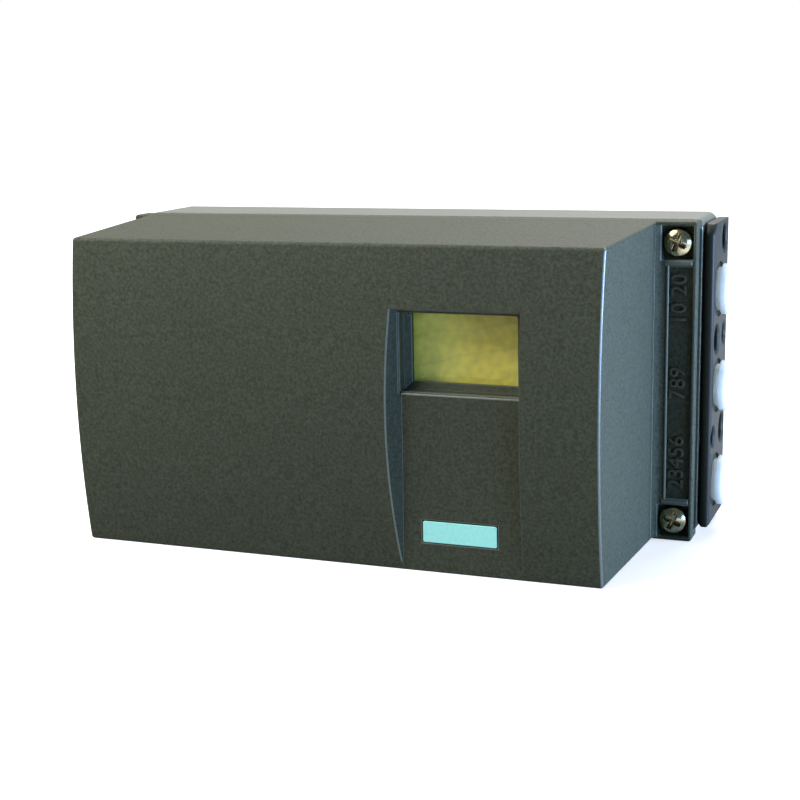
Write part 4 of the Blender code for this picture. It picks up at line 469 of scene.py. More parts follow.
def bar_mesh(start, turn, reach, radius, sides=48, tip=None):
    """Cylinder, cone or prism from a start point."""
    bm = bmesh.new()
    bmesh.ops.create_cone(
        bm, cap_ends=True, segments=sides, radius1=radius,
        radius2=radius if tip is None else tip, depth=reach)
    bmesh.ops.translate(bm, vec=(0, 0, reach / 2), verts=bm.verts)
    bmesh.ops.transform(bm, matrix=Matrix.Translation(start) @ turn, verts=bm.verts)
    return bm


def spun_mesh(profile, start, turn, steps=64):
    """Profile of (radius, height) pairs spun about an axis through start."""
    bm = bmesh.new()
    chain = [bm.verts.new((radius, 0, up)) for radius, up in profile]
    edges = [bm.edges.new(pair) for pair in zip(chain, chain[1:])]
    if profile[0][0] > 0:
        edges.append(bm.edges.new((chain[-1], chain[0])))
    bmesh.ops.spin(
        bm, geom=chain + edges, cent=(0, 0, 0), axis=(0, 0, 1), angle=2 * math.pi, steps=steps,
        use_merge=True)
    bmesh.ops.remove_doubles(bm, verts=bm.verts, dist=0.000001)
    bmesh.ops.transform(bm, matrix=Matrix.Translation(start) @ turn, verts=bm.verts)
    return bm


def slab_mesh(outline, near, far, across=(0, 2), along=1):
    """Outline of points in two axes, extruded along the third."""
    bm = bmesh.new()
    corners = []
    for first, second in outline:
        place = [0.0, 0.0, 0.0]
        place[across[0]] = first
        place[across[1]] = second
        place[along] = near
        corners.append(bm.verts.new(place))
    face = bm.faces.new(corners)
    grown = bmesh.ops.extrude_face_region(bm, geom=[face])["geom"]
    shift = [0.0, 0.0, 0.0]
    shift[along] = far - near
    moved = [item for item in grown if isinstance(item, bmesh.types.BMVert)]
    bmesh.ops.translate(bm, vec=shift, verts=moved)
    return bm


def arc(centre, radius, start, end, steps):
    """Points on an arc, with angles in degrees."""
    turn = math.radians(end - start) / steps
    first = math.radians(start)
    return [
        (centre[0] + radius * math.cos(first + turn * step),
         centre[1] + radius * math.sin(first + turn * step)) for step in range(steps + 1)]


def round_rectangle(low, high, radius, steps=8):
    return (
        arc((high[0] - radius, high[1] - radius), radius, 0, 90, steps)
        + arc((low[0] + radius, high[1] - radius), radius, 90, 180, steps)
        + arc((low[0] + radius, low[1] + radius), radius, 180, 270, steps)
        + arc((high[0] - radius, low[1] + radius), radius, 270, 360, steps))


def carve(bm, cutters, operation="DIFFERENCE"):
    """Boolean of one mesh with others, which are used up."""
    bmesh.ops.recalc_face_normals(bm, faces=bm.faces)
    mesh = bpy.data.meshes.new("carved")
    bm.to_mesh(mesh)
    bm.free()
    body = bpy.data.objects.new("carved", mesh)
    bpy.context.scene.collection.objects.link(body)
    tools = []
    for cutter in cutters:
        bmesh.ops.recalc_face_normals(cutter, faces=cutter.faces)
        tool_mesh = bpy.data.meshes.new("cutter")
        cutter.to_mesh(tool_mesh)
        cutter.free()
        tool = bpy.data.objects.new("cutter", tool_mesh)
        bpy.context.scene.collection.objects.link(tool)
        step = body.modifiers.new("carve", "BOOLEAN")
        step.operation = operation
        step.solver = "EXACT"
        step.object = tool
        tools.append(tool)
    seen = body.evaluated_get(bpy.context.evaluated_depsgraph_get())
    result = bpy.data.meshes.new_from_object(seen)
    carved = bmesh.new()
    carved.from_mesh(result)
    bpy.data.meshes.remove(result)
    for item in [body, *tools]:
        data = item.data
        bpy.data.objects.remove(item)
        bpy.data.meshes.remove(data)
    return carved


def tidy_faces(bm):
    """Merge the flat fragments a Boolean leaves."""
    bmesh.ops.remove_doubles(bm, verts=bm.verts, dist=0.000002)
    bmesh.ops.dissolve_degenerate(bm, edges=bm.edges, dist=0.000002)
    bmesh.ops.dissolve_limit(
        bm, angle_limit=math.radians(0.05), verts=bm.verts, edges=bm.edges)
    # A face around a hole is cut up, because a live bevel would cover the hole.
    bmesh.ops.triangulate(bm, faces=[face for face in bm.faces if len(face.verts) > 4])
    return bm


# Pieces


def front_depth(z, inset=0.0):
    """Y of the arched front at a height."""
    sizes = bpy.context.scene.positioner_cover
    low = CAD_LOW
    chord = (CAD_HIGH - sizes.top_draft - low) / 2
    radius = (chord ** 2 + sizes.bulge ** 2) / (2 * sizes.bulge)
    rise = z - (low + chord)
    return CAD_FRONT + radius - math.sqrt((radius - inset) ** 2 - rise ** 2)


CAD_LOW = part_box("cover")[0].z
CAD_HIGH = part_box("cover")[1].z
CAD_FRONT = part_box("cover")[0].y
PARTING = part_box("cover")[1].y
HALF_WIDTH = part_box("base_housing")[1].x


def arched_form(left, right, low, high, inset, back, steps=72):
    """Drafted block with the arched front."""
    sizes = bpy.context.scene.positioner_cover
    draft_plane = PARTING - sizes.flange + 1 * MM
    reach = draft_plane - CAD_FRONT
    top = high - sizes.top_draft
    outline = [(back, high + sizes.top_draft * (back - draft_plane) / reach), (back, low)]
    for step in range(steps + 1):
        z = low + (top - low) * step / steps
        outline.append((front_depth(z, inset), z))
    bm = slab_mesh(outline, left, right, across=(1, 2), along=0)
    middle = (left + right) / 2
    for vert in bm.verts:
        lean = sizes.side_draft * (draft_plane - vert.co.y) / reach
        vert.co.x -= math.copysign(lean, vert.co.x - middle)
    return bm


def sharp_edges(bm, angle):
    limit = math.radians(angle)
    return [
        edge for edge in bm.edges
        if len(edge.link_faces) == 2 and edge.calc_face_angle(0) > limit]


def bevel_edges(bm, edges, width, segments):
    bmesh.ops.bevel(
        bm, geom=edges, offset=width, offset_type="OFFSET", segments=segments, profile=0.5,
        affect="EDGES", clamp_overlap=True, material=-1)


def cover_corners():
    fasteners = bpy.context.scene.positioner_fasteners
    for side, x in (("left", -fasteners.screw_x), ("right", fasteners.screw_x)):
        for level, z in (("lower", -fasteners.screw_z), ("upper", fasteners.screw_z)):
            yield f"{side}_{level}", x, z


def cover_shell():
    """Outside of the cover with its flanges and root fillets."""
    sizes = bpy.context.scene.positioner_cover
    flange_front = PARTING - sizes.flange
    form = arched_form(sizes.left, sizes.right, CAD_LOW, CAD_HIGH, 0, flange_front + 1 * MM)
    bevel_edges(form, sharp_edges(form, 40), sizes.edge, 5)
    flange = slab_mesh(
        round_rectangle((-HALF_WIDTH, CAD_LOW), (HALF_WIDTH, CAD_HIGH), 1 * MM, 5),
        flange_front, PARTING - sizes.seam)
    bevel_edges(flange, sharp_edges(flange, 60), 0.7 * MM, 4)
    rim = 1.4 * MM
    foot = slab_mesh(
        round_rectangle((rim - HALF_WIDTH, CAD_LOW + rim), (HALF_WIDTH - rim, CAD_HIGH - rim),
                        1 * MM, 5),
        flange_front + 2 * MM, PARTING)
    joined = [flange, foot]
    for side, x in ((-1, sizes.left), (1, sizes.right)):
        start = flange_front + 0.03 * MM
        radius = sizes.fillet
        outline = [(x - side * MM, start + 0.8 * MM), (x + side * radius, start + 0.8 * MM)]
        outline += [
            (x + side * across, start + along)
            for across, along in arc((radius, -radius), radius, 90, 180, 14)]
        outline.append((x - side * MM, start - radius))
        joined.append(slab_mesh(
            outline, CAD_LOW + sizes.edge, CAD_HIGH - sizes.edge, across=(0, 1), along=2))
    return carve(form, joined, "UNION")


def panel_reach():
    """Half the height of the sunk panel, between the ledges beside the screw pockets."""
    return bpy.context.scene.positioner_fasteners.screw_z - 7 * MM


def cover_inside():
    """Hollow of the cover, less what backs the recess and the window."""
    sizes = bpy.context.scene.positioner_cover
    recess = bpy.context.scene.positioner_recess
    wall = sizes.wall
    back = PARTING + 1 * MM
    hollow = arched_form(
        -HALF_WIDTH + sizes.boss_width, sizes.right - wall, CAD_LOW + wall, CAD_HIGH - wall,
        wall, back, 24)
    wide = arched_form(
        sizes.left + wall, sizes.right - 2 * wall, CAD_LOW + sizes.boss, CAD_HIGH - sizes.boss,
        wall + 0.5 * MM, back - 0.5 * MM, 24)
    hollow = carve(hollow, [wide], "UNION")
    ahead = CAD_FRONT - 1 * MM
    left, right, low, high = window_outline()
    return carve(hollow, [
        box_mesh((recess.left - wall, ahead, CAD_LOW - MM),
                 (recess.right + wall, recess.floor + wall, recess.top + wall)),
        box_mesh((left - wall, ahead, low - wall), (right + wall, frame_back(), high + wall))])


def window_outline():
    """Left, right, lower and upper side of the window's outer step."""
    recess = bpy.context.scene.positioner_recess
    right = recess.right - recess.window_margin
    high = recess.top - recess.window_margin
    return right - recess.window_width, right, high - recess.window_height, high


def pane_seat():
    recess = bpy.context.scene.positioner_recess
    return recess.floor + recess.window_depth + recess.window_slope + 0.9 * MM


def frame_back():
    return pane_seat() + 2.1 * MM


def recess_tool():
    """Flat-floored recess with a curved, sloping left wall."""
    recess = bpy.context.scene.positioner_recess
    low = CAD_LOW - 3 * MM
    middle = (CAD_LOW + CAD_HIGH - bpy.context.scene.positioner_cover.top_draft) / 2
    slope = 0.85
    outer = recess.floor - 7.1 * MM
    floor_line = [(recess.right, low), (recess.right, recess.top)]
    steps = 48
    for step in range(steps + 1):
        z = recess.top + (low - recess.top) * step / steps
        bow = recess.bow - math.sqrt(recess.bow ** 2 - (z - middle) ** 2)
        depth = max(recess.floor - front_depth(max(z, CAD_LOW)), 0)
        floor_line.append((recess.left + bow + slope * depth, z))
    tool = slab_mesh(floor_line, outer, recess.floor)
    for vert in tool.verts:
        if vert.co.y < recess.floor - 1 * MM and vert.co.x < recess.right - 1 * MM:
            vert.co.x -= slope * (recess.floor - outer)
    return tool


def window_tools():
    """Cutters of the stepped window, the pane's seat and the name plate's seat."""
    recess = bpy.context.scene.positioner_recess
    left, right, low, high = window_outline()
    slope_y = recess.floor + recess.window_depth
    slope = recess.window_slope
    deeper = 0.2 * MM
    inner = slope - 1.7 * MM
    rim = 0.9 * MM
    middle = (left + right) / 2
    wide = recess.plate_width / 2 + 0.3 * MM
    tall = recess.plate_height / 2 + 0.3 * MM
    return [
        box_mesh((left, recess.floor - MM, low), (right, slope_y, high)),
        tapered_box((left, slope_y - 0.01 * MM, low), (right, slope_y + slope + deeper, high),
                    slope + deeper),
        tapered_box((left - rim, recess.floor - 0.2 * MM, low - rim),
                    (right + rim, recess.floor - 0.2 * MM + rim, high + rim), rim),
        box_mesh((left + slope, slope_y - 0.5 * MM, low + slope),
                 (right - slope, frame_back() + MM, high - 0.5 * MM)),
        box_mesh((left + inner, pane_seat(), low + inner),
                 (right - inner, frame_back() + MM, high - inner)),
        box_mesh((middle - wide, recess.floor - 3 * MM, recess.plate_level - tall),
                 (middle + wide, recess.floor + 0.6 * MM, recess.plate_level + tall))]


def flange_tools():
    """Cutters of the screw pockets, screw holes and the sunk panel."""
    sizes = bpy.context.scene.positioner_cover
    flange_front = PARTING - sizes.flange
    floor = flange_front + 2.5 * MM
    edge = HALF_WIDTH - 1 * MM
    half = 4.8 * MM
    tools = []
    for _, x, z in cover_corners():
        tools.append(bar_mesh((x, floor - MM, z), TO_Y, sizes.flange + 2 * MM, 3.0 * MM, 40))
        if x > 0:
            tools.append(box_mesh(
                (x - half + 0.3 * MM, flange_front - MM, z - half), (edge, floor, z + half)))
        else:
            tools.append(bar_mesh((x, floor, z), TO_MINUS_Y, 13 * MM, 4.7 * MM, 48))
            tools.append(bar_mesh((x, floor - 12.5 * MM, z), TO_MINUS_Y, 90 * MM, 2.3 * MM, 32))
    reach = panel_reach()
    tools.append(box_mesh(
        (84.1 * MM, flange_front - MM, -reach), (edge, flange_front + 1.2 * MM, reach)))
    # The right flange is undercut behind its lip, which the photo shows as a dark band.
    tools.append(box_mesh(
        (HALF_WIDTH - 1.4 * MM, PARTING - 5 * MM, CAD_LOW + 2.5 * MM),
        (HALF_WIDTH + MM, PARTING + MM, CAD_HIGH - 2.5 * MM)))
    return tools


class POSITIONER_OT_cover(bpy.types.Operator):
    """Mould the cover with its recess, window steps and screw flanges"""

    bl_idname = "positioner.cover"
    bl_label = "Cover"

    def execute(self, context):
        shell = carve(cover_shell(), [cover_inside(), recess_tool()])
        shell = carve(shell, window_tools() + flange_tools())
        tidy_faces(shell)
        shell.normal_update()
        left, right, _, high = window_outline()
        rim_level = context.scene.positioner_recess.floor
        weights = shell.edges.layers.float.new("bevel_weight_edge")
        for edge in sharp_edges(shell, 32):
            middle = (edge.verts[0].co + edge.verts[1].co) / 2
            # The outline near the parting line and the lower front edge is rounded already.
            rounded = abs(middle.z) > CAD_HIGH - 2.3 * MM and middle.y > PARTING - 13 * MM
            rounded = rounded or (middle.z < CAD_LOW + 2 * MM and middle.y < -60 * MM)
            # Hollow corners and the upper and right rims of window and recess stay crisp.
            shaded = middle.y < rim_level + 1.5 * MM and left < middle.x < right + 2 * MM and (
                middle.x > right - MM or middle.z > high - MM)
            crisp = shaded or not edge.is_convex
            edge[weights] = 0.0 if rounded else 0.2 if crisp else 1.0
        piece = new_piece(
            "moulded_cover", shell, "grained_polycarbonate", "lifted_cover",
            ("cover",))
        # Mould edges take a finish that is glossier, which is real, and lighter in colour, which is a painted
        # highlight: on the bevels and the front right corner.
        piece.data.materials.append(finish("polished_painted_highlight_polycarbonate"))
        corner = context.scene.positioner_cover.right - 4.6 * MM
        for face in piece.data.polygons:
            turned = face.normal.x > 0.2 and face.normal.y < -0.2
            front_edge = face.center.x > corner and face.center.y < CAD_FRONT + 10 * MM
            face.material_index = int(turned and front_edge)
        round_edges(piece, 0.28 * MM, 3, 32)
        # The bevel faces take the lighter edge finish: a painted highlight along the rounded edges.
        piece.modifiers["rounded edges"].material = 1
        piece.modifiers["rounded edges"].limit_method = "WEIGHT"
        return {"FINISHED"}


class POSITIONER_OT_beads(bpy.types.Operator):
    """Raise the rounded ledges and the bead that frame the sunk panel"""

    bl_idname = "positioner.beads"
    bl_label = "Panel beads"

    def execute(self, context):
        front = PARTING - context.scene.positioner_cover.flange
        level = panel_reach() + 1.15 * MM
        for name, start, turn, reach, radius in (
                ("ledge_lower", (83.0 * MM, front + 0.5 * MM, -level), TO_X, 8.0 * MM, 1.0 * MM),
                ("ledge_upper", (83.0 * MM, front + 0.5 * MM, level), TO_X, 8.0 * MM, 1.0 * MM),
                ("bead", (83.9 * MM, front + 0.2 * MM, -level), UPRIGHT, 2 * level, 0.5 * MM)):
            # Ledges and bead take the lighter edge finish: a painted highlight on their rounding.
            piece = new_piece(
                f"panel_{name}", bar_mesh(start, turn, reach, radius, 24),
                "polished_painted_highlight_polycarbonate", "lifted_cover")
            round_edges(piece, 0.2 * MM, 2, 50)
        return {"FINISHED"}


class POSITIONER_OT_window(bpy.types.Operator):
    """Set the clear pane and the blank name plate in the cover"""

    bl_idname = "positioner.window"
    bl_label = "Window and name plate"

    def execute(self, context):
        low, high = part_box("window_pane")
        pane = new_piece(
            "clear_pane", box_mesh(low, high), "clear_polycarbonate", "lifted_cover",
            ("window_pane",))
        round_edges(pane, 0.3 * MM)
        low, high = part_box("name_plate")
        outline = round_rectangle((low.x, low.z), (high.x, high.z), 0.5 * MM, 6)
        plate = new_piece(
            "blank_name_plate", slab_mesh(outline, low.y, high.y), "printed_film",
            "lifted_cover", ("name_plate",))
        round_edges(plate, 0.12 * MM, 2, 50)
        return {"FINISHED"}


def flat_text(text, size, thickness):
    """Mesh of a line of plain numbers, centred on the origin in the XY plane."""
    curve = bpy.data.curves.new("numbers", "FONT")
    curve.body = text
    curve.size = size
    curve.extrude = thickness / 2
    curve.bevel_depth = 0.1 * MM
    curve.bevel_resolution = 1
    curve.align_x = "CENTER"
    curve.align_y = "CENTER"
    curve.resolution_u = 4
    holder = bpy.data.objects.new("numbers", curve)
    bpy.context.scene.collection.objects.link(holder)
    seen = holder.evaluated_get(bpy.context.evaluated_depsgraph_get())
    mesh = bpy.data.meshes.new_from_object(seen)
    bm = bmesh.new()
    bm.from_mesh(mesh)
    bpy.data.meshes.remove(mesh)
    bpy.data.objects.remove(holder)
    bpy.data.curves.remove(curve)
    bmesh.ops.remove_doubles(bm, verts=bm.verts, dist=0.000001)
    return bm


class POSITIONER_OT_numbers(bpy.types.Operator):
    """Raise plain numbers on the sunk panel of the right flange"""

    bl_idname = "positioner.numbers"
    bl_label = "Raised numbers"

    def execute(self, context):
        sizes = context.scene.positioner_cover
        floor = PARTING - sizes.flange + 1.2 * MM
        rise = 0.7 * MM
        sideways = Matrix.Rotation(math.pi / 2, 4, "X") @ Matrix.Rotation(math.pi / 2, 4, "Z")
        for name, text, z in (("lower", "23456", -23.7), ("middle", "789", 0.3), ("upper", "10 20", 25.2)):
            numbers = flat_text(text, 6.6 * MM, rise)
            place = Matrix.Translation((87.3 * MM, floor - rise / 2 + 0.02 * MM, z * MM))
            bmesh.ops.transform(numbers, matrix=place @ sideways, verts=numbers.verts)
            new_piece(
                f"raised_numbers_{name}", numbers, "smooth_polycarbonate", "lifted_cover")
        return {"FINISHED"}


class POSITIONER_OT_cover_screws(bpy.types.Operator):
    """Turn the four pan-head screws with their cross recess"""

    bl_idname = "positioner.cover_screws"
    bl_label = "Cover screws"

    def execute(self, context):
        radius = context.scene.positioner_fasteners.head
        for name, x, z in cover_corners():
            low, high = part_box(f"cover_screw_{name}")
            rise = 3.1 * MM
            seat = low.y + rise
            tip = high.y - seat
            profile = [(0, rise), (radius * 0.3, rise - 0.02 * MM), (radius * 0.6, rise - 0.16 * MM)]
            profile += [
                (across, up) for across, up in arc((radius - 1.9 * MM, rise - 2.3 * MM), 1.9 * MM, 72, 0, 7)]
            profile += [(radius, 0.15 * MM), (radius - 0.15 * MM, 0), (2.4 * MM, 0)]
            turns = 9
            for turn in range(turns):
                up = -tip * (0.3 + 0.66 * turn / turns)
                step = tip * 0.66 / turns
                profile += [(2.4 * MM, up), (2.0 * MM, up - step * 0.5)]
            profile += [(2.0 * MM, -tip), (0, -tip)]
            screw = spun_mesh(profile, (x, seat, z), TO_MINUS_Y, 56)
            reach = radius * 0.62
            narrow = reach / 3.6
            turned = Matrix.Rotation(math.radians(24 if x > 0 else 60), 4, "Y")
            slots = []
            for wide, tall in ((reach, narrow), (narrow, reach)):
                slot = tapered_box((-wide, -0.6 * MM, -tall), (wide, 2.3 * MM, tall), narrow * 0.6)
                bmesh.ops.transform(
                    slot, matrix=Matrix.Translation((x, low.y, z)) @ turned, verts=slot.verts)
                slots.append(slot)
            piece = new_piece(
                f"pan_head_{name}", carve(screw, slots), "yellow_passivated_steel", "lifted_cover",
                (f"cover_screw_{name}",))
            round_edges(piece, 0.1 * MM, 2, 50)
        return {"FINISHED"}


class POSITIONER_OT_port_caps(bpy.types.Operator):
    """Turn the milky caps that close the three ports"""

    bl_idname = "positioner.port_caps"
    bl_label = "Port caps"

    def execute(self, context):
        radius = context.scene.positioner_fasteners.cap
        for level in ("lower", "middle", "upper"):
            low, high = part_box(f"port_cap_{level}")
            centre = (low + high) / 2
            rise = 4.0 * MM
            seat = high.x - rise
            spigot = seat - low.x
            edge = 1.1 * MM
            collar = radius - 1.1 * MM
            dome = [(0, rise - 0.25 * MM), (radius * 0.5, rise - 0.2 * MM)]
            dome += [(radius * 0.56, rise), (radius - 2.6 * MM, rise - 0.02 * MM)]
            dome += arc((radius - edge, rise - edge), edge, 80, 0, 8)
            dome += [(radius, 1.55 * MM), (radius - 0.25 * MM, 1.35 * MM), (collar, 1.3 * MM)]
            dome += [(collar, 0.15 * MM), (collar - 0.15 * MM, 0), (5.5 * MM, 0)]
            ribs = [(5.5 * MM, -1.2 * MM)]
            for rib in range(3):
                start = -spigot * (0.28 + 0.22 * rib)
                ribs += [(5.3 * MM, start), (5.5 * MM, start - 0.5 * MM), (5.3 * MM, start - 1.0 * MM)]
            inside = [
                (5.2 * MM, -spigot), (4.1 * MM, -spigot), (4.1 * MM, -1.4 * MM), (0, -1.2 * MM)]
            cap = spun_mesh(dome + ribs + inside, (seat, centre.y, centre.z), TO_X, 64)
            new_piece(
                f"milky_cap_{level}", cap, "milky_polyethylene", f"{level}_cap",
                (f"port_cap_{level}",))
        return {"FINISHED"}


def refine(node, material, width=0.25):
    """Keep a CAD node, with fine live bevels and a finish."""
    item = NODES[node]
    weld = item.modifiers.new("weld", "WELD")
    weld.merge_threshold = 0.00001
    flat = item.modifiers.new("flat faces", "DECIMATE")
    flat.decimate_type = "DISSOLVE"
    flat.angle_limit = math.radians(0.3)
    item.data.materials.clear()
    item.data.materials.append(finish(material))
    item.data.shade_smooth()
    round_edges(item, width * MM, 2, 50)
    return item


KEPT = (
    ("base_housing", "base_polycarbonate", 0.4), ("port_strip", "black_anodised_aluminium", 0.2),
    ("strip_gasket", "black_rubber", 0.1), ("strip_screw_lower", "zinc_plated_steel", 0.15),
    ("strip_screw_upper", "zinc_plated_steel", 0.15), ("cover_seal", "black_rubber", 0.3),
    ("gland_body", "black_polyamide", 0.3), ("gland_seal", "black_rubber", 0.2),
    ("gland_nut", "black_polyamide", 0.3), ("blanking_plug_ring", "black_rubber", 0.2),
    ("blanking_plug", "black_polyamide", 0.3), ("ground_screw", "stainless_steel", 0.15),
    ("feedback_shaft", "stainless_steel", 0.15), ("shaft_circlip", "stainless_steel", 0.1),
    ("shaft_bush", "turned_brass", 0.2), ("shaft_seal", "black_rubber", 0.2),
    ("drive_gear", "white_acetal", 0.1), ("adjusting_wheel", "yellow_acetal", 0.2),
    ("potentiometer_pinion", "white_acetal", 0.1), ("potentiometer", "grey_abs", 0.2),
    ("gear_bracket", "zinc_plated_steel", 0.2), ("bracket_screw_upper", "zinc_plated_steel", 0.15),
    ("bracket_screw_lower", "zinc_plated_steel", 0.15), ("ratio_selector", "yellow_acetal", 0.2),
    ("electronics_tray", "black_polyamide", 0.2), ("module_screw_upper", "zinc_plated_steel", 0.15),
    ("module_screw_lower", "zinc_plated_steel", 0.15), ("main_board", "circuit_board", 0.1),
    ("module_cover", "grey_abs", 0.3), ("display_glass", "liquid_crystal_display", 0.15),
    ("key_left", "grey_abs", 0.2), ("key_middle", "grey_abs", 0.2), ("key_right", "grey_abs", 0.2),
    ("valve_block", "cast_aluminium", 0.3), ("valve_screw_upper", "zinc_plated_steel", 0.15),
    ("valve_screw_lower", "zinc_plated_steel", 0.15), ("restrictor_lower", "turned_brass", 0.1),
    ("restrictor_upper", "turned_brass", 0.1), ("purge_air_slide", "white_acetal", 0.2),
    ("pilot_valve", "grey_abs", 0.3), ("silencer", "sintered_bronze", 0.2),
    ("terminal_board", "circuit_board", 0.1), ("terminal_block_lower", "green_polyamide", 0.2),
    ("terminal_block_upper", "green_polyamide", 0.2),
    ("terminal_screw_upper", "zinc_plated_steel", 0.15),
    ("terminal_screw_lower", "zinc_plated_steel", 0.15),
)


class POSITIONER_OT_kept_nodes(bpy.types.Operator):
    """Give the pieces that keep their CAD shape fine edges and finishes"""

    bl_idname = "positioner.kept_nodes"
    bl_label = "Inner works"

    def execute(self, context):
        for node, material, width in KEPT:
            refine(node, material, width)
        return {"FINISHED"}


# Stage


def stage_material():
    """Pale floor: white to the eye, and a plain diffuse surface to the light."""
    material = bpy.data.materials.new("pale_backdrop")
    material.use_nodes = True
    tree = material.node_tree
    tree.nodes.clear()
    place = add_node(tree, "ShaderNodeTexCoord")
    away = add_node(tree, "ShaderNodeVectorMath", {0: (place, "Object")}, operation="LENGTH")
    lift = add_node(tree, "ShaderNodeMapRange", {
        "Value": (away, "Value"), "From Min": 0.15, "From Max": 0.45, "To Min": 0.62,
        "To Max": 1.0})
    white = add_node(tree, "ShaderNodeEmission", {
        "Color": (1, 1, 1, 1), "Strength": (lift, "Result")})
    paper = add_node(tree, "ShaderNodeBsdfDiffuse", {"Color": (0.80, 0.80, 0.80, 1.0)})
    bounce = add_node(tree, "ShaderNodeBsdfDiffuse", {"Color": (0.18, 0.18, 0.18, 1.0)})
    seen = add_node(tree, "ShaderNodeLightPath")
    shown = add_node(tree, "ShaderNodeMath", {
        0: (seen, "Is Camera Ray"), 1: (seen, "Is Transmission Ray")}, operation="MAXIMUM")
    mirrored = add_node(tree, "ShaderNodeMixShader", {
        0: (seen, "Is Glossy Ray"), 1: (bounce, "BSDF"), 2: (paper, "BSDF")})
    both = add_node(tree, "ShaderNodeAddShader", {0: (paper, "BSDF"), 1: (white, "Emission")})
    mixed = add_node(tree, "ShaderNodeMixShader", {
        0: (shown, "Value"), 1: (mirrored, "Shader"), 2: (both, "Shader")})
    add_node(tree, "ShaderNodeOutputMaterial", {"Surface": (mixed, "Shader")})
    return material


def area_light(name, place, target, size, power, tint=(1, 1, 1)):
    lamp = bpy.data.lights.new(name, "AREA")
    lamp.shape = "RECTANGLE"
    lamp.size = size[0]
    lamp.size_y = size[1]
    lamp.energy = power
    lamp.color = tint
    holder = bpy.data.objects.new(name, lamp)
    holder.location = place
    aim = Vector(target) - Vector(place)
    holder.rotation_euler = aim.to_track_quat("-Z", "Y").to_euler()
    bpy.context.scene.collection.objects.link(holder)


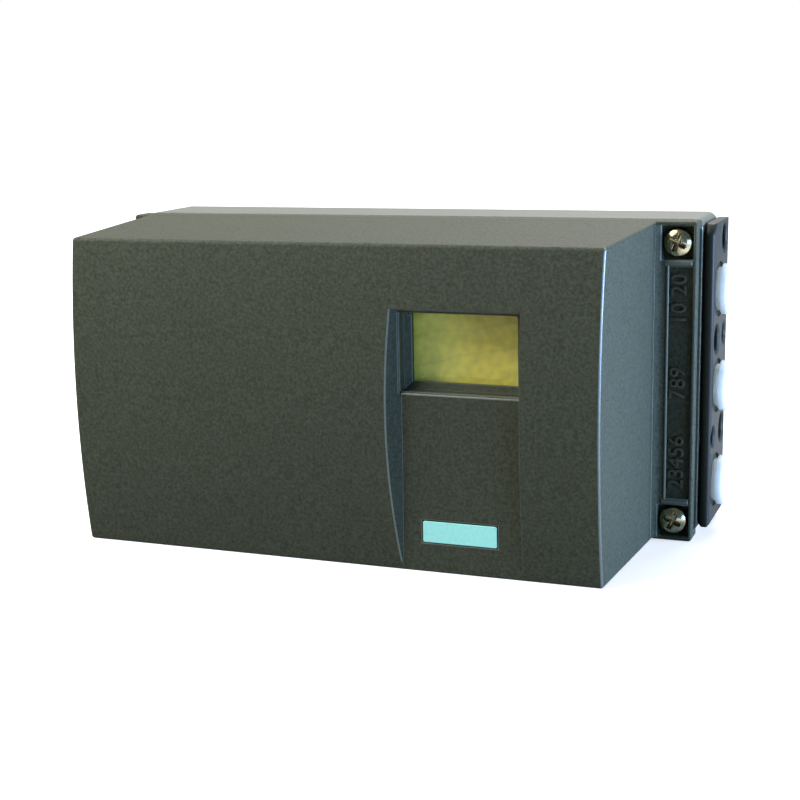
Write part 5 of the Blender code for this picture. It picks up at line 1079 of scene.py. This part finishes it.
class POSITIONER_OT_stage(bpy.types.Operator):
    """Set the pale floor, the soft lamps and the camera"""

    bl_idname = "positioner.stage"
    bl_label = "Stage"

    def execute(self, context):
        scene = context.scene
        floor_mesh = box_mesh((-4, -4, CAD_LOW - 0.02), (4, 4, CAD_LOW))
        mesh = bpy.data.meshes.new("floor")
        floor_mesh.to_mesh(mesh)
        floor_mesh.free()
        floor = bpy.data.objects.new("floor", mesh)
        mesh.materials.append(stage_material())
        scene.collection.objects.link(floor)
        world = bpy.data.worlds.new("soft_daylight")
        scene.world = world
        world.use_nodes = True
        tree = world.node_tree
        tree.nodes.clear()
        fill = add_node(tree, "ShaderNodeBackground", {"Color": (0.9, 0.96, 1, 1), "Strength": 0.13})
        plain = add_node(tree, "ShaderNodeBackground", {"Color": (1, 1, 1, 1), "Strength": 1.0})
        direction = add_node(tree, "ShaderNodeTexCoord")
        split = add_node(tree, "ShaderNodeSeparateXYZ", {0: (direction, "Generated")})
        # The white backdrop stands behind the object; the room in front of it is dim.
        room = add_node(tree, "ShaderNodeMapRange", {
            "Value": (split, "Y"), "From Min": -0.4, "From Max": 0.5, "To Min": 0.15,
            "To Max": 1.0})
        window_side = add_node(tree, "ShaderNodeMapRange", {
            "Value": (split, "X"), "From Min": 0.0, "From Max": 0.7})
        daylight = add_node(tree, "ShaderNodeMix", {
            0: (window_side, "Result"), 6: (1, 1, 1, 1), 7: (0.40, 0.70, 1.0, 1)},
            data_type="RGBA")
        mirrored = add_node(tree, "ShaderNodeBackground", {
            "Color": (daylight, 2), "Strength": (room, "Result")})
        seen = add_node(tree, "ShaderNodeLightPath")
        either = add_node(tree, "ShaderNodeMath", {
            0: (seen, "Is Camera Ray"), 1: (seen, "Is Transmission Ray")}, operation="MAXIMUM")
        glossy = add_node(tree, "ShaderNodeMixShader", {
            0: (seen, "Is Glossy Ray"), 1: (fill, "Background"), 2: (mirrored, "Background")})
        mixed = add_node(tree, "ShaderNodeMixShader", {
            0: (either, "Value"), 1: (glossy, "Shader"), 2: (plain, "Background")})
        add_node(tree, "ShaderNodeOutputWorld", {"Surface": (mixed, "Shader")})
        area_light("overhead", (-0.42, -0.32, 0.62), (0, -0.04, 0), (0.6, 0.5), 11.0)
        area_light("front_left", (-0.80, -0.80, 0.45), (0, -0.04, 0), (0.5, 0.5), 2.5)
        area_light("front_right", (0.95, -0.50, 0.08), (0, -0.04, 0), (0.5, 0.25), 8.5, (0.30, 0.56, 1.0))
        area_light("rear", (0.1, 0.75, 0.9), (0, -0.04, 0), (0.7, 0.4), 11.0)
        area_light("right", (0.95, 0.12, 0.035), (0.05, -0.04, 0), (0.5, 0.15), 23.0, (0.42, 0.60, 1.0))
        camera = bpy.data.cameras.new("photo_camera")
        camera.sensor_width = 36.0
        camera.lens = 69.3002
        camera.shift_x = 0.02161
        camera.shift_y = 0.01692
        camera.clip_start = 0.01
        holder = bpy.data.objects.new("photo_camera", camera)
        azimuth = math.radians(21.787)
        elevation = math.radians(12.296)
        roll = math.radians(-1.3125)
        back = Vector((
            math.sin(azimuth) * math.cos(elevation), -math.cos(azimuth) * math.cos(elevation),
            math.sin(elevation)))
        right = Vector((math.cos(azimuth), math.sin(azimuth), 0))
        up = back.cross(right)
        rolled_right = right * math.cos(roll) + up * math.sin(roll)
        rolled_up = up * math.cos(roll) - right * math.sin(roll)
        turn = Matrix((rolled_right, rolled_up, back)).transposed().to_4x4()
        holder.matrix_world = Matrix.Translation((0.17127, -0.47746, 0.08994)) @ turn
        scene.collection.objects.link(holder)
        scene.camera = holder
        scene.view_settings.view_transform = "Standard"
        return {"FINISHED"}


class POSITIONER_PT_panel(bpy.types.Panel):
    """Sizes, colours and makers of the positioner"""

    bl_idname = "POSITIONER_PT_panel"
    bl_label = "Valve positioner"
    bl_space_type = "VIEW_3D"
    bl_region_type = "UI"
    bl_category = "Positioner"

    def draw(self, context):
        layout = self.layout
        for attribute, group in GROUPS.items():
            box = layout.box()
            box.label(text=group.__doc__)
            values = getattr(context.scene, attribute)
            for name in group.__annotations__:
                box.prop(values, name)
        for maker in MAKERS:
            layout.operator(maker.bl_idname)


GROUPS = {
    "positioner_cover": CoverSizes,
    "positioner_recess": RecessSizes,
    "positioner_fasteners": FastenerSizes,
    "positioner_colours": FinishColours,
}
MAKERS = (
    POSITIONER_OT_cover, POSITIONER_OT_beads, POSITIONER_OT_window, POSITIONER_OT_numbers, POSITIONER_OT_cover_screws,
    POSITIONER_OT_port_caps, POSITIONER_OT_kept_nodes, POSITIONER_OT_stage,
)


def register():
    for group in GROUPS.values():
        bpy.utils.register_class(group)
    for attribute, group in GROUPS.items():
        setattr(bpy.types.Scene, attribute, bpy.props.PointerProperty(type=group))
    for maker in MAKERS:
        bpy.utils.register_class(maker)
    bpy.utils.register_class(POSITIONER_PT_panel)


def unregister():
    bpy.utils.unregister_class(POSITIONER_PT_panel)
    for maker in reversed(MAKERS):
        bpy.utils.unregister_class(maker)
    for attribute in GROUPS:
        delattr(bpy.types.Scene, attribute)
    for group in reversed(GROUPS.values()):
        bpy.utils.unregister_class(group)


def main():
    register()
    for maker in MAKERS:
        family, name = maker.bl_idname.split(".")
        getattr(getattr(bpy.ops, family), name)()


if __name__ == "__main__":
    main()
